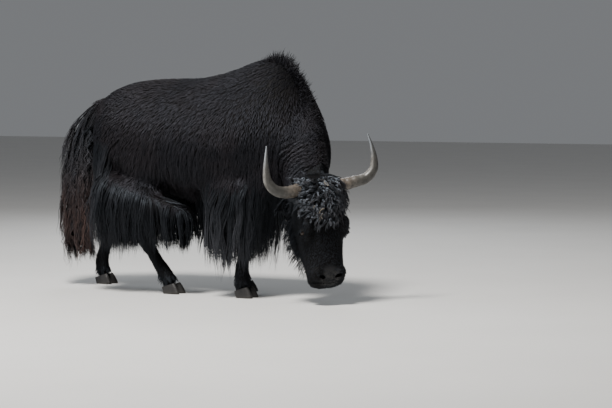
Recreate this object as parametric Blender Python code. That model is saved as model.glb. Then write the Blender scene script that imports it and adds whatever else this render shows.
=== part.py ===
"""A life-size still model of a grazing domestic yak bull, in metres.

The animal faces +X, its left is +Y and the floor is z = 0. It walks slowly with its right hind leg forward,
its neck turned to its right and its muzzle just above the floor. The flesh is lofted from named sections,
smoothed into one body and parted by thin planar gaps. The coat's long forms are fused to the node they
grow from.
"""

import math
import random

import bmesh
import bpy
import numpy as np
from mathutils import Matrix, Vector
from mathutils.bvhtree import BVHTree

# The thin gap between nodes, and the size of a half space's cutting box
GAP = 0.0003
FAR = 4.0
SEED = 11

# Voxel size and rounds of smoothing with which each body's pieces are blended
BODY_VOXEL = 0.016
BODY_ROUNDS = 6
HEAD_VOXEL = 0.007
HEAD_ROUNDS = 4
LEG_VOXEL = 0.009
LEG_ROUNDS = 3

# Points round a ring, and rings along a loft
BODY_RING = 28
HEAD_RING = 36
LEG_RING = 16
HORN_RING = 9
TAIL_RING = 10
TRUNK_RINGS = 30
NECK_RINGS = 14
HEAD_RINGS = 34
LEG_RINGS = 26
UPPER_LEG_RINGS = 14
HORN_RINGS = 14
TAIL_RINGS = 16

# Triangles that each smoothed body keeps, and those that a node keeps with its locks
BODY_TRIANGLES = 1600
HEAD_TRIANGLES = 1900
LEG_TRIANGLES = 560
TORSO_WITH_LOCKS = 6700
HEAD_WITH_LOCKS = 2750
NECK_WITH_LOCKS = 1250
TAIL_WITH_LOCKS = 1950

# Thinning first welds points, at the first of these distances that leaves the body closed, and then goes in
# steps: the share kept at each, what a failed step takes off it, and the failures allowed
WELDS = (0.00003, 0.00001, 0.000003, 0.000001)
THIN_STEP = 0.96
THIN_CHANGE = 0.013
THIN_FAILURES = 16
THIN_SLACK = 1.03
LOCK_DRAWS = 8

# The trunk, rear to front: x, height of the back, height of the belly, half width, pinch of the upper half
TRUNK = (
    (-1.185, 1.000, 0.850, 0.060, 0.00),
    (-1.160, 1.090, 0.790, 0.125, 0.00),
    (-1.090, 1.175, 0.710, 0.195, 0.10),
    (-1.000, 1.225, 0.650, 0.245, 0.15),
    (-0.850, 1.258, 0.620, 0.280, 0.20),
    (-0.670, 1.270, 0.580, 0.305, 0.25),
    (-0.450, 1.275, 0.545, 0.330, 0.28),
    (-0.250, 1.315, 0.535, 0.335, 0.35),
    (-0.120, 1.362, 0.540, 0.322, 0.43),
    (0.000, 1.388, 0.555, 0.300, 0.48),
    (0.080, 1.380, 0.565, 0.282, 0.50),
    (0.150, 1.320, 0.580, 0.262, 0.45),
    (0.220, 1.215, 0.600, 0.235, 0.35),
    (0.280, 1.090, 0.640, 0.185, 0.20),
    (0.330, 0.960, 0.700, 0.120, 0.00),
)

# How far up a trunk ring is widest, and the power that squares its sides (1 for an oval)
TRUNK_WIDEST = 0.42
TRUNK_SQUARE = 0.85

# The neck, from the withers to behind the poll: upper point, lower point, half width, heading in degrees
NECK = (
    (Vector((0.050, 0.000, 1.310)), Vector((0.060, 0.000, 0.600)), 0.195, 0),
    (Vector((0.180, -0.010, 1.250)), Vector((0.150, -0.030, 0.565)), 0.172, -8),
    (Vector((0.285, -0.060, 1.125)), Vector((0.195, -0.090, 0.530)), 0.152, -16),
    (Vector((0.360, -0.125, 0.995)), Vector((0.220, -0.150, 0.495)), 0.138, -24),
    (Vector((0.415, -0.190, 0.870)), Vector((0.240, -0.205, 0.465)), 0.130, -31),
    (Vector((0.445, -0.250, 0.765)), Vector((0.265, -0.250, 0.440)), 0.120, -38),
    (Vector((0.465, -0.290, 0.690)), Vector((0.300, -0.285, 0.430)), 0.108, -38),
)

# How much narrower a neck ring is at its crest than at its middle
NECK_PINCH = 0.30

# Where the neck is parted from the torso and from the head: a point of the plane and its heading and tilt
NECK_ROOT_CUT = (Vector((0.225, -0.040, 0.850)), -14, 8)
NECK_HEAD_CUT = (Vector((0.340, -0.235, 0.640)), -36, 22)

# The head hangs from the poll; these set where it is and how it is turned
POLL = Vector((0.498, -0.328, 0.727))
HEAD_YAW = -39
HEAD_PITCH = 85
HEAD_ROLL = 3

# The head, poll to muzzle: distance down, front of the face, back of the jaw, half width, narrowing below
SKULL = (
    (-0.012, -0.080, -0.130, 0.055, 0.00),
    (0.000, -0.045, -0.165, 0.098, 0.00),
    (0.030, -0.012, -0.215, 0.130, 0.04),
    (0.085, 0.010, -0.255, 0.144, 0.08),
    (0.160, 0.014, -0.288, 0.148, 0.10),
    (0.225, 0.010, -0.308, 0.145, 0.12),
    (0.290, 0.004, -0.314, 0.138, 0.13),
    (0.365, -0.004, -0.300, 0.126, 0.14),
    (0.440, -0.010, -0.264, 0.115, 0.13),
    (0.500, -0.012, -0.218, 0.109, 0.12),
    (0.548, -0.018, -0.176, 0.110, 0.10),
    (0.588, -0.034, -0.155, 0.106, 0.08),
    (0.612, -0.058, -0.138, 0.088, 0.05),
    (0.626, -0.085, -0.114, 0.044, 0.00),
)

# How far back from the face a head ring is widest, and the power that squares it
SKULL_WIDEST = 0.42
SKULL_SQUARE = 0.75

# Ovals melted into the head: centre (side, down, front) and radii; those off the middle plane are mirrored
SWELLINGS = (
    ("brow", (0.108, 0.270, -0.020), (0.032, 0.044, 0.024)),
    ("orbit", (0.106, 0.311, -0.052), (0.034, 0.042, 0.038)),
    ("cheek", (0.088, 0.320, -0.205), (0.046, 0.125, 0.095)),
    ("wing", (0.064, 0.540, -0.045), (0.040, 0.045, 0.038)),
    ("lip", (0.000, 0.588, -0.080), (0.084, 0.032, 0.054)),
    ("chin", (0.000, 0.562, -0.138), (0.062, 0.048, 0.030)),
)

# Nostril: centre, the way its long side runs, the way it goes in, and its radii
NOSTRIL = Vector((0.050, 0.560, -0.014))
NOSTRIL_RUN = Vector((0.55, -0.35, 0.10))
NOSTRIL_IN = Vector((-0.25, -0.35, -1.0))
NOSTRIL_RADII = (0.023, 0.011, 0.036)

# The line of the mouth: how far round the muzzle it goes, how far down it lies, its rise towards the corners,
# the centre and reach of its outer and inner edge (side, front), and half its opening at each
MOUTH_REACH = 108
MOUTH_DOWN = 0.599
MOUTH_CORNER_RISE = 0.060
MOUTH_SIDE_RISE = 0.012
MOUTH_OUTER = (0.142, -0.110, 0.108, 0.0025)
MOUTH_INNER = (0.068, -0.124, 0.044, 0.0008)

# Eye, in the head's own directions (side, down, front), and the lids round it
EYE = Vector((0.126, 0.308, -0.052))
EYE_RADIUS = 0.020
EYE_LOOK = Vector((0.84, 0.06, 0.54))
LID_THICK = 0.0055
LID_OPEN = 0.0125
LID_WIDTH = 0.021

# Horn: points along its axis (side, down, front) and the radius at each
HORN = (
    (Vector((0.100, 0.062, -0.070)), 0.038),
    (Vector((0.150, 0.066, -0.064)), 0.036),
    (Vector((0.212, 0.064, -0.052)), 0.034),
    (Vector((0.274, 0.042, -0.040)), 0.031),
    (Vector((0.316, -0.008, -0.030)), 0.028),
    (Vector((0.329, -0.072, -0.026)), 0.021),
    (Vector((0.324, -0.136, -0.030)), 0.012),
    (Vector((0.311, -0.196, -0.040)), 0.003),
)

# A horn's depth as a share of its width, how much lower the left (1) and the right (-1) horn is carried, and how
# far out from the root it reaches that
HORN_FLAT = 0.9
HORN_DROP = {1: -0.020, -1: 0.010}
HORN_ROOT_RUN = 0.110

# Ear: root, tip, greatest half width and thickness, and the way its cup opens
EAR_ROOT = Vector((0.105, 0.085, -0.150))
EAR_TIP = Vector((0.222, 0.180, -0.212))
EAR_HALF_WIDTH = 0.040
EAR_THICK = 0.008
EAR_OPENS = Vector((0.25, 0.35, 1.0))
EAR_STEPS = 8
EAR_ACROSS = 6

# Legs: joints from the trunk down to the coronet, each with its fore-and-aft and its sideways radius
LEGS = {
    "fore_right": (
        (Vector((0.050, -0.190, 0.860)), 0.150, 0.080),
        (Vector((-0.030, -0.200, 0.640)), 0.105, 0.070),
        (Vector((-0.075, -0.170, 0.490)), 0.062, 0.052),
        (Vector((-0.095, -0.155, 0.340)), 0.050, 0.046),
        (Vector((-0.112, -0.150, 0.220)), 0.035, 0.034),
        (Vector((-0.120, -0.150, 0.130)), 0.043, 0.042),
        (Vector((-0.105, -0.150, 0.060)), 0.042, 0.045),
    ),
    "fore_left": (
        (Vector((0.030, 0.190, 0.860)), 0.150, 0.080),
        (Vector((-0.090, 0.200, 0.640)), 0.105, 0.070),
        (Vector((-0.180, 0.170, 0.490)), 0.062, 0.052),
        (Vector((-0.230, 0.155, 0.340)), 0.050, 0.046),
        (Vector((-0.265, 0.150, 0.220)), 0.035, 0.034),
        (Vector((-0.285, 0.150, 0.130)), 0.043, 0.042),
        (Vector((-0.270, 0.150, 0.060)), 0.042, 0.045),
    ),
    "hind_right": (
        (Vector((-0.900, -0.150, 1.000)), 0.200, 0.110),
        (Vector((-0.720, -0.210, 0.740)), 0.160, 0.085),
        (Vector((-0.730, -0.200, 0.560)), 0.100, 0.065),
        (Vector((-0.785, -0.165, 0.370)), 0.058, 0.045),
        (Vector((-0.710, -0.155, 0.220)), 0.037, 0.034),
        (Vector((-0.640, -0.150, 0.120)), 0.043, 0.042),
        (Vector((-0.595, -0.150, 0.060)), 0.042, 0.045),
    ),
    "hind_left": (
        (Vector((-0.930, 0.150, 1.000)), 0.200, 0.110),
        (Vector((-0.950, 0.210, 0.740)), 0.160, 0.085),
        (Vector((-1.080, 0.200, 0.570)), 0.100, 0.065),
        (Vector((-1.215, 0.168, 0.400)), 0.056, 0.045),
        (Vector((-1.255, 0.162, 0.250)), 0.037, 0.034),
        (Vector((-1.285, 0.160, 0.125)), 0.043, 0.042),
        (Vector((-1.268, 0.160, 0.060)), 0.042, 0.045),
    ),
}
LEG_CUT_HEIGHT = 0.500

# Hoof: two claws side by side, with a flat sole and a top that slopes down to the heel
CLAW_LENGTH = 0.108
CLAW_WIDTH = 0.050
CLAW_SPLAY = 6
CLAW_APART = 0.006
HOOF_TOP = 0.058
HOOF_SLOPE = 18

# A claw from above, as shares of its length and width, outer wall first
CLAW_OUTLINE = (
    (-0.48, 0.26), (-0.40, 0.46), (-0.10, 0.50), (0.22, 0.47), (0.42, 0.34), (0.52, 0.05),
    (0.48, -0.12), (0.20, -0.42), (-0.12, -0.46), (-0.40, -0.42), (-0.48, -0.20),
)

# A claw's levels: share of its height, size, and how far it leans back as a share of its length
CLAW_LEVELS = ((0.0, 1.0, 0.0), (0.12, 1.02, 0.0), (0.55, 0.97, -0.08), (1.0, 0.88, -0.17))

# Where the coronet's middle stands ahead of the last joint of the leg
FOOT_AHEAD = 0.018

# Tail: the axis of its dock and brush, with the radius of the core and of the hair round it
TAIL = (
    (Vector((-1.080, 0.000, 1.130)), 0.045, 0.055),
    (Vector((-1.180, 0.000, 1.105)), 0.050, 0.070),
    (Vector((-1.275, -0.004, 1.000)), 0.052, 0.092),
    (Vector((-1.325, -0.008, 0.850)), 0.056, 0.106),
    (Vector((-1.350, -0.012, 0.680)), 0.058, 0.116),
    (Vector((-1.358, -0.018, 0.500)), 0.050, 0.114),
    (Vector((-1.352, -0.022, 0.350)), 0.030, 0.090),
    (Vector((-1.340, -0.024, 0.240)), 0.008, 0.050),
)
TAIL_LOCK_ROWS = 5
TAIL_LOCKS_ROUND = 5
TAIL_LOCK_LENGTH = 0.340
TAIL_LOCK_WIDTH = 0.100
TAIL_ROOT_DEPTH = 0.015
TAIL_LOWEST = 0.215

# The skirt's hem on one side, brisket to buttock: x and height
HEM = (
    (0.200, 0.430), (0.120, 0.360), (0.050, 0.280), (-0.030, 0.215), (-0.110, 0.180), (-0.200, 0.175),
    (-0.260, 0.190), (-0.300, 0.250), (-0.350, 0.215), (-0.400, 0.235), (-0.450, 0.270), (-0.700, 0.275),
    (-0.950, 0.255), (-1.150, 0.240), (-1.300, 0.240),
)

# Tiers of hanging locks on each side: height of the roots, height of the tips (none: the hem), first and last
# station, spacing, width, how far the tips trail back and how far out from the middle plane they hang
SIDE_TIERS = (
    (0.960, 0.620, -1.060, 0.080, 0.124, 0.136, 0.070, 0.352),
    (0.780, 0.430, -1.110, 0.130, 0.118, 0.126, 0.060, 0.350),
    (0.670, None, -1.120, 0.170, 0.092, 0.102, 0.040, 0.322),
    (0.610, None, -1.070, 0.180, 0.104, 0.096, 0.025, 0.296),
)
LEAST_HANG = 0.298
LOCK_THICK = 0.022
ROOT_DEPTH = 0.024
REAR_LOCKS = ((0.860, 0.540), (0.700, 0.320))
REAR_SPACING = 0.088
REAR_HALF_WIDTH = 0.220
REAR_LOCK_WIDTH = 0.096
BRISKET_LOCKS = ((0.150, 0.340), (0.240, 0.420))

# The crest on the hump, whose stations lean forwards by so many degrees, and more with each metre ahead, the
# crest down the neck, and the fringe under the neck
HUMP_CREST = (-0.080, 0.150)
HUMP_LEAN = 15
HUMP_LEAN_CHANGE = 260
CREST_LENGTH = 0.085
CREST_WIDTH = 0.062
CREST_SPACING = 0.046
FRINGE_LENGTH = 0.150
FRINGE_WIDTH = 0.088

# The forelock: rows of clumps down the forehead (distance down, reach to each side, how many), and the fringe
# of the jaw (first and last distance down, how many on a side)
FORELOCK_ROWS = (
    (-0.004, 0.080, 3), (0.038, 0.120, 5), (0.088, 0.126, 5), (0.138, 0.122, 4), (0.188, 0.082, 3),
)
FORELOCK_LENGTH = 0.098
FORELOCK_WIDTH = 0.062
JAW_FRINGE = (0.240, 0.500, 5)
JAW_LENGTH = 0.092
JAW_WIDTH = 0.046
HEAD_LOCK_THICK = 0.019


def heading_vector(degrees):
    """The level direction at an angle from +X."""
    return Vector((math.cos(math.radians(degrees)), math.sin(math.radians(degrees)), 0.0))


def head_axes():
    """The head's own directions as the columns of a matrix: to its left, down the face, out of the face."""
    yaw = Matrix.Rotation(math.radians(HEAD_YAW), 3, "Z")
    pitch = Matrix.Rotation(math.radians(HEAD_PITCH), 3, "Y")
    roll = Matrix.Rotation(math.radians(HEAD_ROLL), 3, "X")
    down = yaw @ roll @ pitch @ Vector((1.0, 0.0, 0.0))
    front = yaw @ roll @ pitch @ Vector((0.0, 0.0, 1.0))
    left = yaw @ roll @ Vector((0.0, 1.0, 0.0))
    return Matrix((left, down, front)).transposed()


HEAD_AXES = head_axes()


def on_head(side_down_front, mirror=1):
    """A point given as side, down and front of the poll, on the left (1) or the right (-1) of the head."""
    return POLL + HEAD_AXES @ Vector((side_down_front[0] * mirror, side_down_front[1], side_down_front[2]))


def horn_point(point, mirror):
    """A point of a horn's axis: the two horns leave the head alike, and the left one is carried higher."""
    away = min(1.0, (point[0] - HORN[0][0][0]) / HORN_ROOT_RUN)
    return on_head((point[0], point[1] + HORN_DROP[mirror] * away, point[2]), mirror)


def spline(rows, count):
    """Rows of numbers, resampled evenly along a smooth curve through them."""
    rows = np.array(rows, float)
    step = np.linalg.norm(np.diff(rows[:, :3], axis=0), axis=1)
    place = np.concatenate([[0.0], np.cumsum(step)])
    slope = np.gradient(rows, place, axis=0)
    out = []
    for t in np.linspace(0.0, place[-1], count):
        i = min(int(np.searchsorted(place, t, side="right")) - 1, len(place) - 2)
        h = place[i + 1] - place[i]
        s = (t - place[i]) / h
        out.append((2 * s**3 - 3 * s**2 + 1) * rows[i] + (s**3 - 2 * s**2 + s) * h * slope[i]
                   + (3 * s**2 - 2 * s**3) * rows[i + 1] + (s**3 - s**2) * h * slope[i + 1])
    return np.array(out)


def new_object(name, points, faces):
    """A mesh object from points and faces, with its faces turned outwards."""
    mesh = bpy.data.meshes.new(name)
    mesh.from_pydata([tuple(p) for p in points], [], [tuple(f) for f in faces])
    work = bmesh.new()
    work.from_mesh(mesh)
    bmesh.ops.recalc_face_normals(work, faces=work.faces)
    work.to_mesh(mesh)
    work.free()
    item = bpy.data.objects.new(name, mesh)
    bpy.context.scene.collection.objects.link(item)
    return item


def loft(name, rings):
    """One closed skin over rings of equally many points, with a flat fan at each end."""
    count = len(rings[0])
    points = [p for ring in rings for p in ring]
    faces = []
    for i in range(len(rings) - 1):
        for j in range(count):
            k = (j + 1) % count
            faces.append((i * count + j, i * count + k, (i + 1) * count + k, (i + 1) * count + j))
    faces.append(tuple(range(count)))
    faces.append(tuple((len(rings) - 1) * count + j for j in range(count)))
    return new_object(name, points, faces)


def evaluated(item, modifier):
    """Apply the one modifier of an object to its mesh."""
    mesh = bpy.data.meshes.new_from_object(item.evaluated_get(bpy.context.evaluated_depsgraph_get()))
    item.modifiers.remove(modifier)
    old = item.data
    item.data = mesh
    bpy.data.meshes.remove(old)


def join(name, items):
    """Put several objects' meshes into one object without joining their surfaces."""
    work = bmesh.new()
    for item in items:
        work.from_mesh(item.data)
        bpy.data.objects.remove(item)
    mesh = bpy.data.meshes.new(name)
    work.to_mesh(mesh)
    work.free()
    joined = bpy.data.objects.new(name, mesh)
    bpy.context.scene.collection.objects.link(joined)
    return joined


def melt(item, voxel, rounds, triangles):
    """Blend overlapping closed surfaces into one smooth body of about so many triangles."""
    remesh = item.modifiers.new("melt", "REMESH")
    remesh.mode = "VOXEL"
    remesh.voxel_size = voxel
    evaluated(item, remesh)
    smooth = item.modifiers.new("smooth", "SMOOTH")
    smooth.factor = 0.5
    smooth.iterations = rounds
    evaluated(item, smooth)
    thin = item.modifiers.new("thin", "DECIMATE")
    thin.ratio = min(1.0, triangles / triangle_count(item))
    evaluated(item, thin)
    keep_largest(item)


def keep_largest(item):
    """Keep only the closed surface that spans the most space."""
    work = bmesh.new()
    work.from_mesh(item.data)
    left = set(work.faces)
    pieces = []
    while left:
        stack = [left.pop()]
        piece = list(stack)
        while stack:
            for edge in stack.pop().edges:
                for face in edge.link_faces:
                    if face in left:
                        left.remove(face)
                        stack.append(face)
                        piece.append(face)
        pieces.append(piece)
    if len(pieces) > 1:
        def size(piece):
            low = Vector((FAR, FAR, FAR))
            high = -low
            for face in piece:
                for vert in face.verts:
                    low = Vector(map(min, low, vert.co))
                    high = Vector(map(max, high, vert.co))
            return (high - low).length
        pieces.sort(key=size)
        drop = [face for piece in pieces[:-1] for face in piece]
        bmesh.ops.delete(work, geom=drop, context="FACES")
        loose = [vert for vert in work.verts if not vert.link_faces]
        bmesh.ops.delete(work, geom=loose, context="VERTS")
    work.to_mesh(item.data)
    work.free()


def boolean(item, tools, operation, solver="MANIFOLD"):
    """Unite with, or cut by, every object of a list, which is then removed."""
    group = bpy.data.collections.new("tools")
    bpy.context.scene.collection.children.link(group)
    for tool in tools:
        group.objects.link(tool)
    change = item.modifiers.new("change", "BOOLEAN")
    change.operation = operation
    change.solver = solver
    change.operand_type = "COLLECTION"
    change.collection = group
    evaluated(item, change)
    for tool in tools:
        bpy.data.objects.remove(tool)
    bpy.data.collections.remove(group)
    keep_largest(item)


def triangle_count(item):
    """How many triangles an object's faces make."""
    return sum(len(face.vertices) - 2 for face in item.data.polygons)


def is_closed(item):
    """Whether every edge of an object lies between two faces."""
    work = bmesh.new()
    work.from_mesh(item.data)
    closed = len(work.faces) > 3 and all(len(edge.link_faces) == 2 for edge in work.edges)
    work.free()
    return closed


def weld(item, distance):
    """Take points nearer than the distance as one, and drop the faces that this flattens."""
    work = bmesh.new()
    work.from_mesh(item.data)
    bmesh.ops.triangulate(work, faces=work.faces)
    work.verts.index_update()
    points = [vert.co.copy() for vert in work.verts]
    twins = bmesh.ops.find_doubles(work, verts=work.verts, dist=distance)["targetmap"]
    target = list(range(len(points)))
    for vert, other in twins.items():
        target[vert.index] = other.index
    faces = {}
    for face in work.faces:
        corners = tuple(target[vert.index] for vert in face.verts)
        if len(set(corners)) == 3:
            key = tuple(sorted(corners))
            if key in faces:
                del faces[key]
            else:
                faces[key] = corners
    work.free()
    used = sorted({corner for corners in faces.values() for corner in corners})
    number = {old: new for new, old in enumerate(used)}
    mesh = bpy.data.meshes.new(item.name)
    mesh.from_pydata([points[old] for old in used], [],
                     [tuple(number[corner] for corner in corners) for corners in faces.values()])
    old_mesh = item.data
    item.data = mesh
    bpy.data.meshes.remove(old_mesh)
    keep_largest(item)


def thin_out(item, triangles):
    """Reduce a body in small steps to about so many triangles, each step leaving it closed."""
    whole = item.data
    for distance in WELDS:
        item.data = whole.copy()
        weld(item, distance)
        if is_closed(item):
            break
    share = THIN_STEP
    failures = 0
    while triangle_count(item) > triangles and failures < THIN_FAILURES:
        before = item.data.copy()
        thin = item.modifiers.new("thin", "DECIMATE")
        thin.ratio = max(share, triangles / triangle_count(item))
        evaluated(item, thin)
        weld(item, distance)
        if is_closed(item):
            bpy.data.meshes.remove(before)
            share = THIN_STEP
            failures = 0
        else:
            item.data = before
            share -= THIN_CHANGE
            failures += 1


def grow_locks(item, make_locks, triangles):
    """Unite a body with its locks and thin it out; locks that can't be thinned so far are drawn again."""
    core = item.data
    for attempt in range(LOCK_DRAWS):
        item.data = core.copy()
        boolean(item, make_locks(surface(item), random.Random(SEED + attempt)), "UNION")
        thin_out(item, triangles)
        if is_closed(item) and triangle_count(item) <= triangles * THIN_SLACK:
            break
    bpy.data.meshes.remove(core)


def clipped(locks, point, normal):
    """Cut locks off at a plane, half the thin gap before it, on the side that the normal points to."""
    kept = []
    for item in locks:
        work = bmesh.new()
        work.from_mesh(item.data)
        geometry = list(work.verts) + list(work.edges) + list(work.faces)
        cut = bmesh.ops.bisect_plane(work, geom=geometry, plane_co=point - normal * (2 * GAP),
                                     plane_no=normal, clear_outer=True)
        rim = [edge for edge in cut["geom_cut"] if isinstance(edge, bmesh.types.BMEdge)]
        if rim:
            bmesh.ops.holes_fill(work, edges=rim, sides=0)
        bmesh.ops.recalc_face_normals(work, faces=work.faces)
        work.to_mesh(item.data)
        work.free()
        if is_closed(item):
            kept.append(item)
        else:
            bpy.data.objects.remove(item)
    return kept


def copy_of(item, name):
    """A free copy of an object."""
    twin = bpy.data.objects.new(name, item.data.copy())
    bpy.context.scene.collection.objects.link(twin)
    return twin


def grown(item, gap=GAP):
    """A copy of an object, grown by the thin gap, to cut what is seated on it."""
    twin = copy_of(item, "seat")
    work = bmesh.new()
    work.from_mesh(twin.data)
    work.normal_update()
    for vert in work.verts:
        vert.co += vert.normal * (gap * max(1.0, vert.calc_shell_factor()))
    work.to_mesh(twin.data)
    work.free()
    return twin


def half_space(point, normal):
    """A great box whose one face lies in a plane, on the side that the normal points to."""
    normal = normal.normalized()
    cube = bmesh.new()
    bmesh.ops.create_cube(cube, size=2 * FAR)
    turn = normal.to_track_quat("Z", "Y").to_matrix().to_4x4()
    place = Matrix.Translation(point + normal * FAR) @ turn
    bmesh.ops.transform(cube, matrix=place, verts=cube.verts)
    mesh = bpy.data.meshes.new("half")
    cube.to_mesh(mesh)
    cube.free()
    box = bpy.data.objects.new("half", mesh)
    bpy.context.scene.collection.objects.link(box)
    return box


def part_by(item, point, normal, name):
    """Cut an object in two by a plane, with the thin gap; the part on the normal's side gets the new name."""
    normal = normal.normalized()
    beyond = copy_of(item, name)
    boolean(beyond, [half_space(point + normal * (GAP / 2), -normal)], "DIFFERENCE")
    boolean(item, [half_space(point - normal * (GAP / 2), normal)], "DIFFERENCE")
    return beyond


def tilted_normal(heading, tilt):
    """A plane's normal at a heading, turned down by its tilt."""
    level = heading_vector(heading)
    return level * math.cos(math.radians(tilt)) - Vector((0.0, 0.0, 1.0)) * math.sin(math.radians(tilt))


def trunk():
    """The trunk's loft: an upright oval at each station, its upper half pinched towards the spine."""
    rings = []
    for x, top, belly, half, pinch in spline(TRUNK, TRUNK_RINGS):
        middle = belly + TRUNK_WIDEST * (top - belly)
        ring = []
        for j in range(BODY_RING):
            angle = 2 * math.pi * j / BODY_RING
            side = half * math.copysign(abs(math.cos(angle)) ** TRUNK_SQUARE, math.cos(angle))
            lift = math.sin(angle)
            z = middle + lift * ((top - middle) if lift > 0 else (middle - belly))
            side *= 1 - pinch * max(0.0, lift) ** 2
            ring.append((x, side, z))
        rings.append(ring)
    return loft("trunk", rings)


def neck():
    """The neck's loft: each ring stands between an upper and a lower point and faces the neck's heading."""
    rows = [(*upper, *lower, half, heading) for upper, lower, half, heading in NECK]
    rings = []
    for row in spline(rows, NECK_RINGS):
        upper = Vector(row[0:3])
        lower = Vector(row[3:6])
        left = heading_vector(row[7] + 90)
        middle = (upper + lower) / 2
        ring = []
        for j in range(BODY_RING):
            angle = 2 * math.pi * j / BODY_RING
            rise = math.sin(angle)
            wide = row[6] * math.cos(angle) * (1 - NECK_PINCH * max(0.0, rise) ** 2)
            ring.append(middle + left * wide + (upper - middle) * rise)
        rings.append(ring)
    return loft("neck", rings)


def skull():
    """The head's loft, with its brows, cheeks, nostril wings and lips raised from the plain oval."""
    rings = []
    for down, front, back, half, narrow in spline(SKULL, HEAD_RINGS):
        middle = front - SKULL_WIDEST * (front - back)
        ring = []
        for j in range(HEAD_RING):
            angle = 2 * math.pi * j / HEAD_RING
            rise = math.sin(angle)
            cosine = math.cos(angle)
            side = half * math.copysign(abs(cosine) ** SKULL_SQUARE, cosine)
            depth = middle + rise * ((front - middle) if rise > 0 else (middle - back))
            side *= 1 - narrow * max(0.0, -rise) ** 1.5
            ring.append(on_head((side, down, depth)))
        rings.append(ring)
    return loft("skull", rings)


def ball(name, centre, radii, axes=None, fine=3):
    """A round or oval solid."""
    work = bmesh.new()
    bmesh.ops.create_icosphere(work, subdivisions=fine, radius=1.0)
    scale = Matrix.Diagonal(Vector(radii)).to_4x4()
    turn = (axes if axes is not None else Matrix.Identity(3)).to_4x4()
    bmesh.ops.transform(work, matrix=Matrix.Translation(centre) @ turn @ scale, verts=work.verts)
    mesh = bpy.data.meshes.new(name)
    work.to_mesh(mesh)
    work.free()
    item = bpy.data.objects.new(name, mesh)
    bpy.context.scene.collection.objects.link(item)
    return item


def head_swellings():
    """Brow ridges, cheek muscles, nostril wings, lips and chin, as ovals melted into the skull."""
    swellings = []
    for name, centre, radii in SWELLINGS:
        for mirror in ((-1, 1) if centre[0] else (1,)):
            swellings.append(ball(name, on_head(centre, mirror), radii, HEAD_AXES))
    return swellings


def sweep(name, rows, count, sides):
    """A limb along a smooth path: x, y, z, fore-and-aft radius, sideways radius."""
    path = spline(rows, count)
    rings = []
    for i, row in enumerate(path):
        ahead = path[min(i + 1, len(path) - 1), :3] - path[max(i - 1, 0), :3]
        along = Vector(ahead).normalized()
        left = Vector((0.0, 1.0, 0.0))
        fore = left.cross(along).normalized()
        left = along.cross(fore).normalized()
        ring = []
        for j in range(sides):
            angle = 2 * math.pi * j / sides
            ring.append(Vector(row[:3]) + fore * math.cos(angle) * row[3] + left * math.sin(angle) * row[4])
        rings.append(ring)
    return loft(name, rings)


def claw(name, foot, side):
    """One claw: a flat sole, an upright outer wall, a pointed toe and a top that slopes down to the heel."""
    turn = math.radians(CLAW_SPLAY) * side
    ahead = Vector((math.cos(turn), math.sin(turn), 0.0))
    across = Vector((-math.sin(turn), math.cos(turn), 0.0))
    middle = foot + Vector((0.0, side * (CLAW_WIDTH / 2 + CLAW_APART / 2), 0.0))
    rings = []
    for part, size, back in CLAW_LEVELS:
        ring = []
        for along, sideways in CLAW_OUTLINE:
            x = (along * size + back) * CLAW_LENGTH
            y = sideways * size * CLAW_WIDTH * side
            top = HOOF_TOP + x * math.tan(math.radians(HOOF_SLOPE))
            ring.append(middle + ahead * x + across * y + Vector((0.0, 0.0, top * part)))
        rings.append(ring)
    return loft(name, rings)


def horn(name, mirror):
    """A horn: round in section, thick at the root, swept out, up and in to its point."""
    rows = [(*horn_point(point, mirror), radius, radius) for point, radius in HORN]
    path = spline(rows, HORN_RINGS)
    rings = []
    across = HEAD_AXES.col[2]
    for i, row in enumerate(path):
        along = Vector(path[min(i + 1, len(path) - 1), :3] - path[max(i - 1, 0), :3]).normalized()
        other = across.cross(along).normalized()
        front = along.cross(other).normalized()
        ring = []
        for j in range(HORN_RING):
            angle = 2 * math.pi * j / HORN_RING
            way = front * (math.cos(angle) * HORN_FLAT) + other * math.sin(angle)
            ring.append(Vector(row[:3]) + way * row[3])
        rings.append(ring)
    return loft(name, rings)


def ear(name, mirror):
    """An ear: a leaf rolled into a cup that opens forwards and down."""
    root = on_head(EAR_ROOT, mirror)
    tip = on_head(EAR_TIP, mirror)
    along = (tip - root).normalized()
    opening = (HEAD_AXES @ Vector((EAR_OPENS.x * mirror, EAR_OPENS.y, EAR_OPENS.z))).normalized()
    across = along.cross(opening).normalized()
    opening = across.cross(along).normalized()
    rings = []
    for step in range(EAR_STEPS + 1):
        t = step / EAR_STEPS
        half = EAR_HALF_WIDTH * (0.55 + 1.2 * t - 1.72 * t * t)
        half = max(half, 0.003)
        roll = 1.0 - 0.75 * t
        thick = EAR_THICK * (1.0 - 0.7 * t)
        centre = root.lerp(tip, t) + opening * 0.010 * math.sin(math.pi * t)
        outer = []
        inner = []
        for j in range(EAR_ACROSS + 1):
            angle = (j / EAR_ACROSS - 0.5) * math.pi * (0.55 + 0.7 * roll)
            out = across * math.sin(angle) * half - opening * (math.cos(angle) * half * 0.8)
            inward = -(across * math.sin(angle) - opening * math.cos(angle)) * thick
            outer.append(centre + out)
            inner.append(centre + out + inward)
        rings.append(outer + inner[::-1])
    return loft(name, rings)


def eye(name, mirror, radius):
    """An eyeball, or with a greater radius its socket or lid."""
    return ball(name, on_head(EYE, mirror), (radius, radius, radius), None, 2)


def eye_frame(mirror):
    """The eye's directions: across the lids, up, and out where it looks."""
    out = (HEAD_AXES @ Vector((EYE_LOOK[0] * mirror, EYE_LOOK[1], EYE_LOOK[2]))).normalized()
    down = HEAD_AXES.col[1]
    across = down.cross(out).normalized()
    slant = (across * 1.0 + HEAD_AXES.col[1] * 0.15).normalized()
    up = out.cross(slant).normalized()
    return Matrix((slant, up, out)).transposed()


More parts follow.
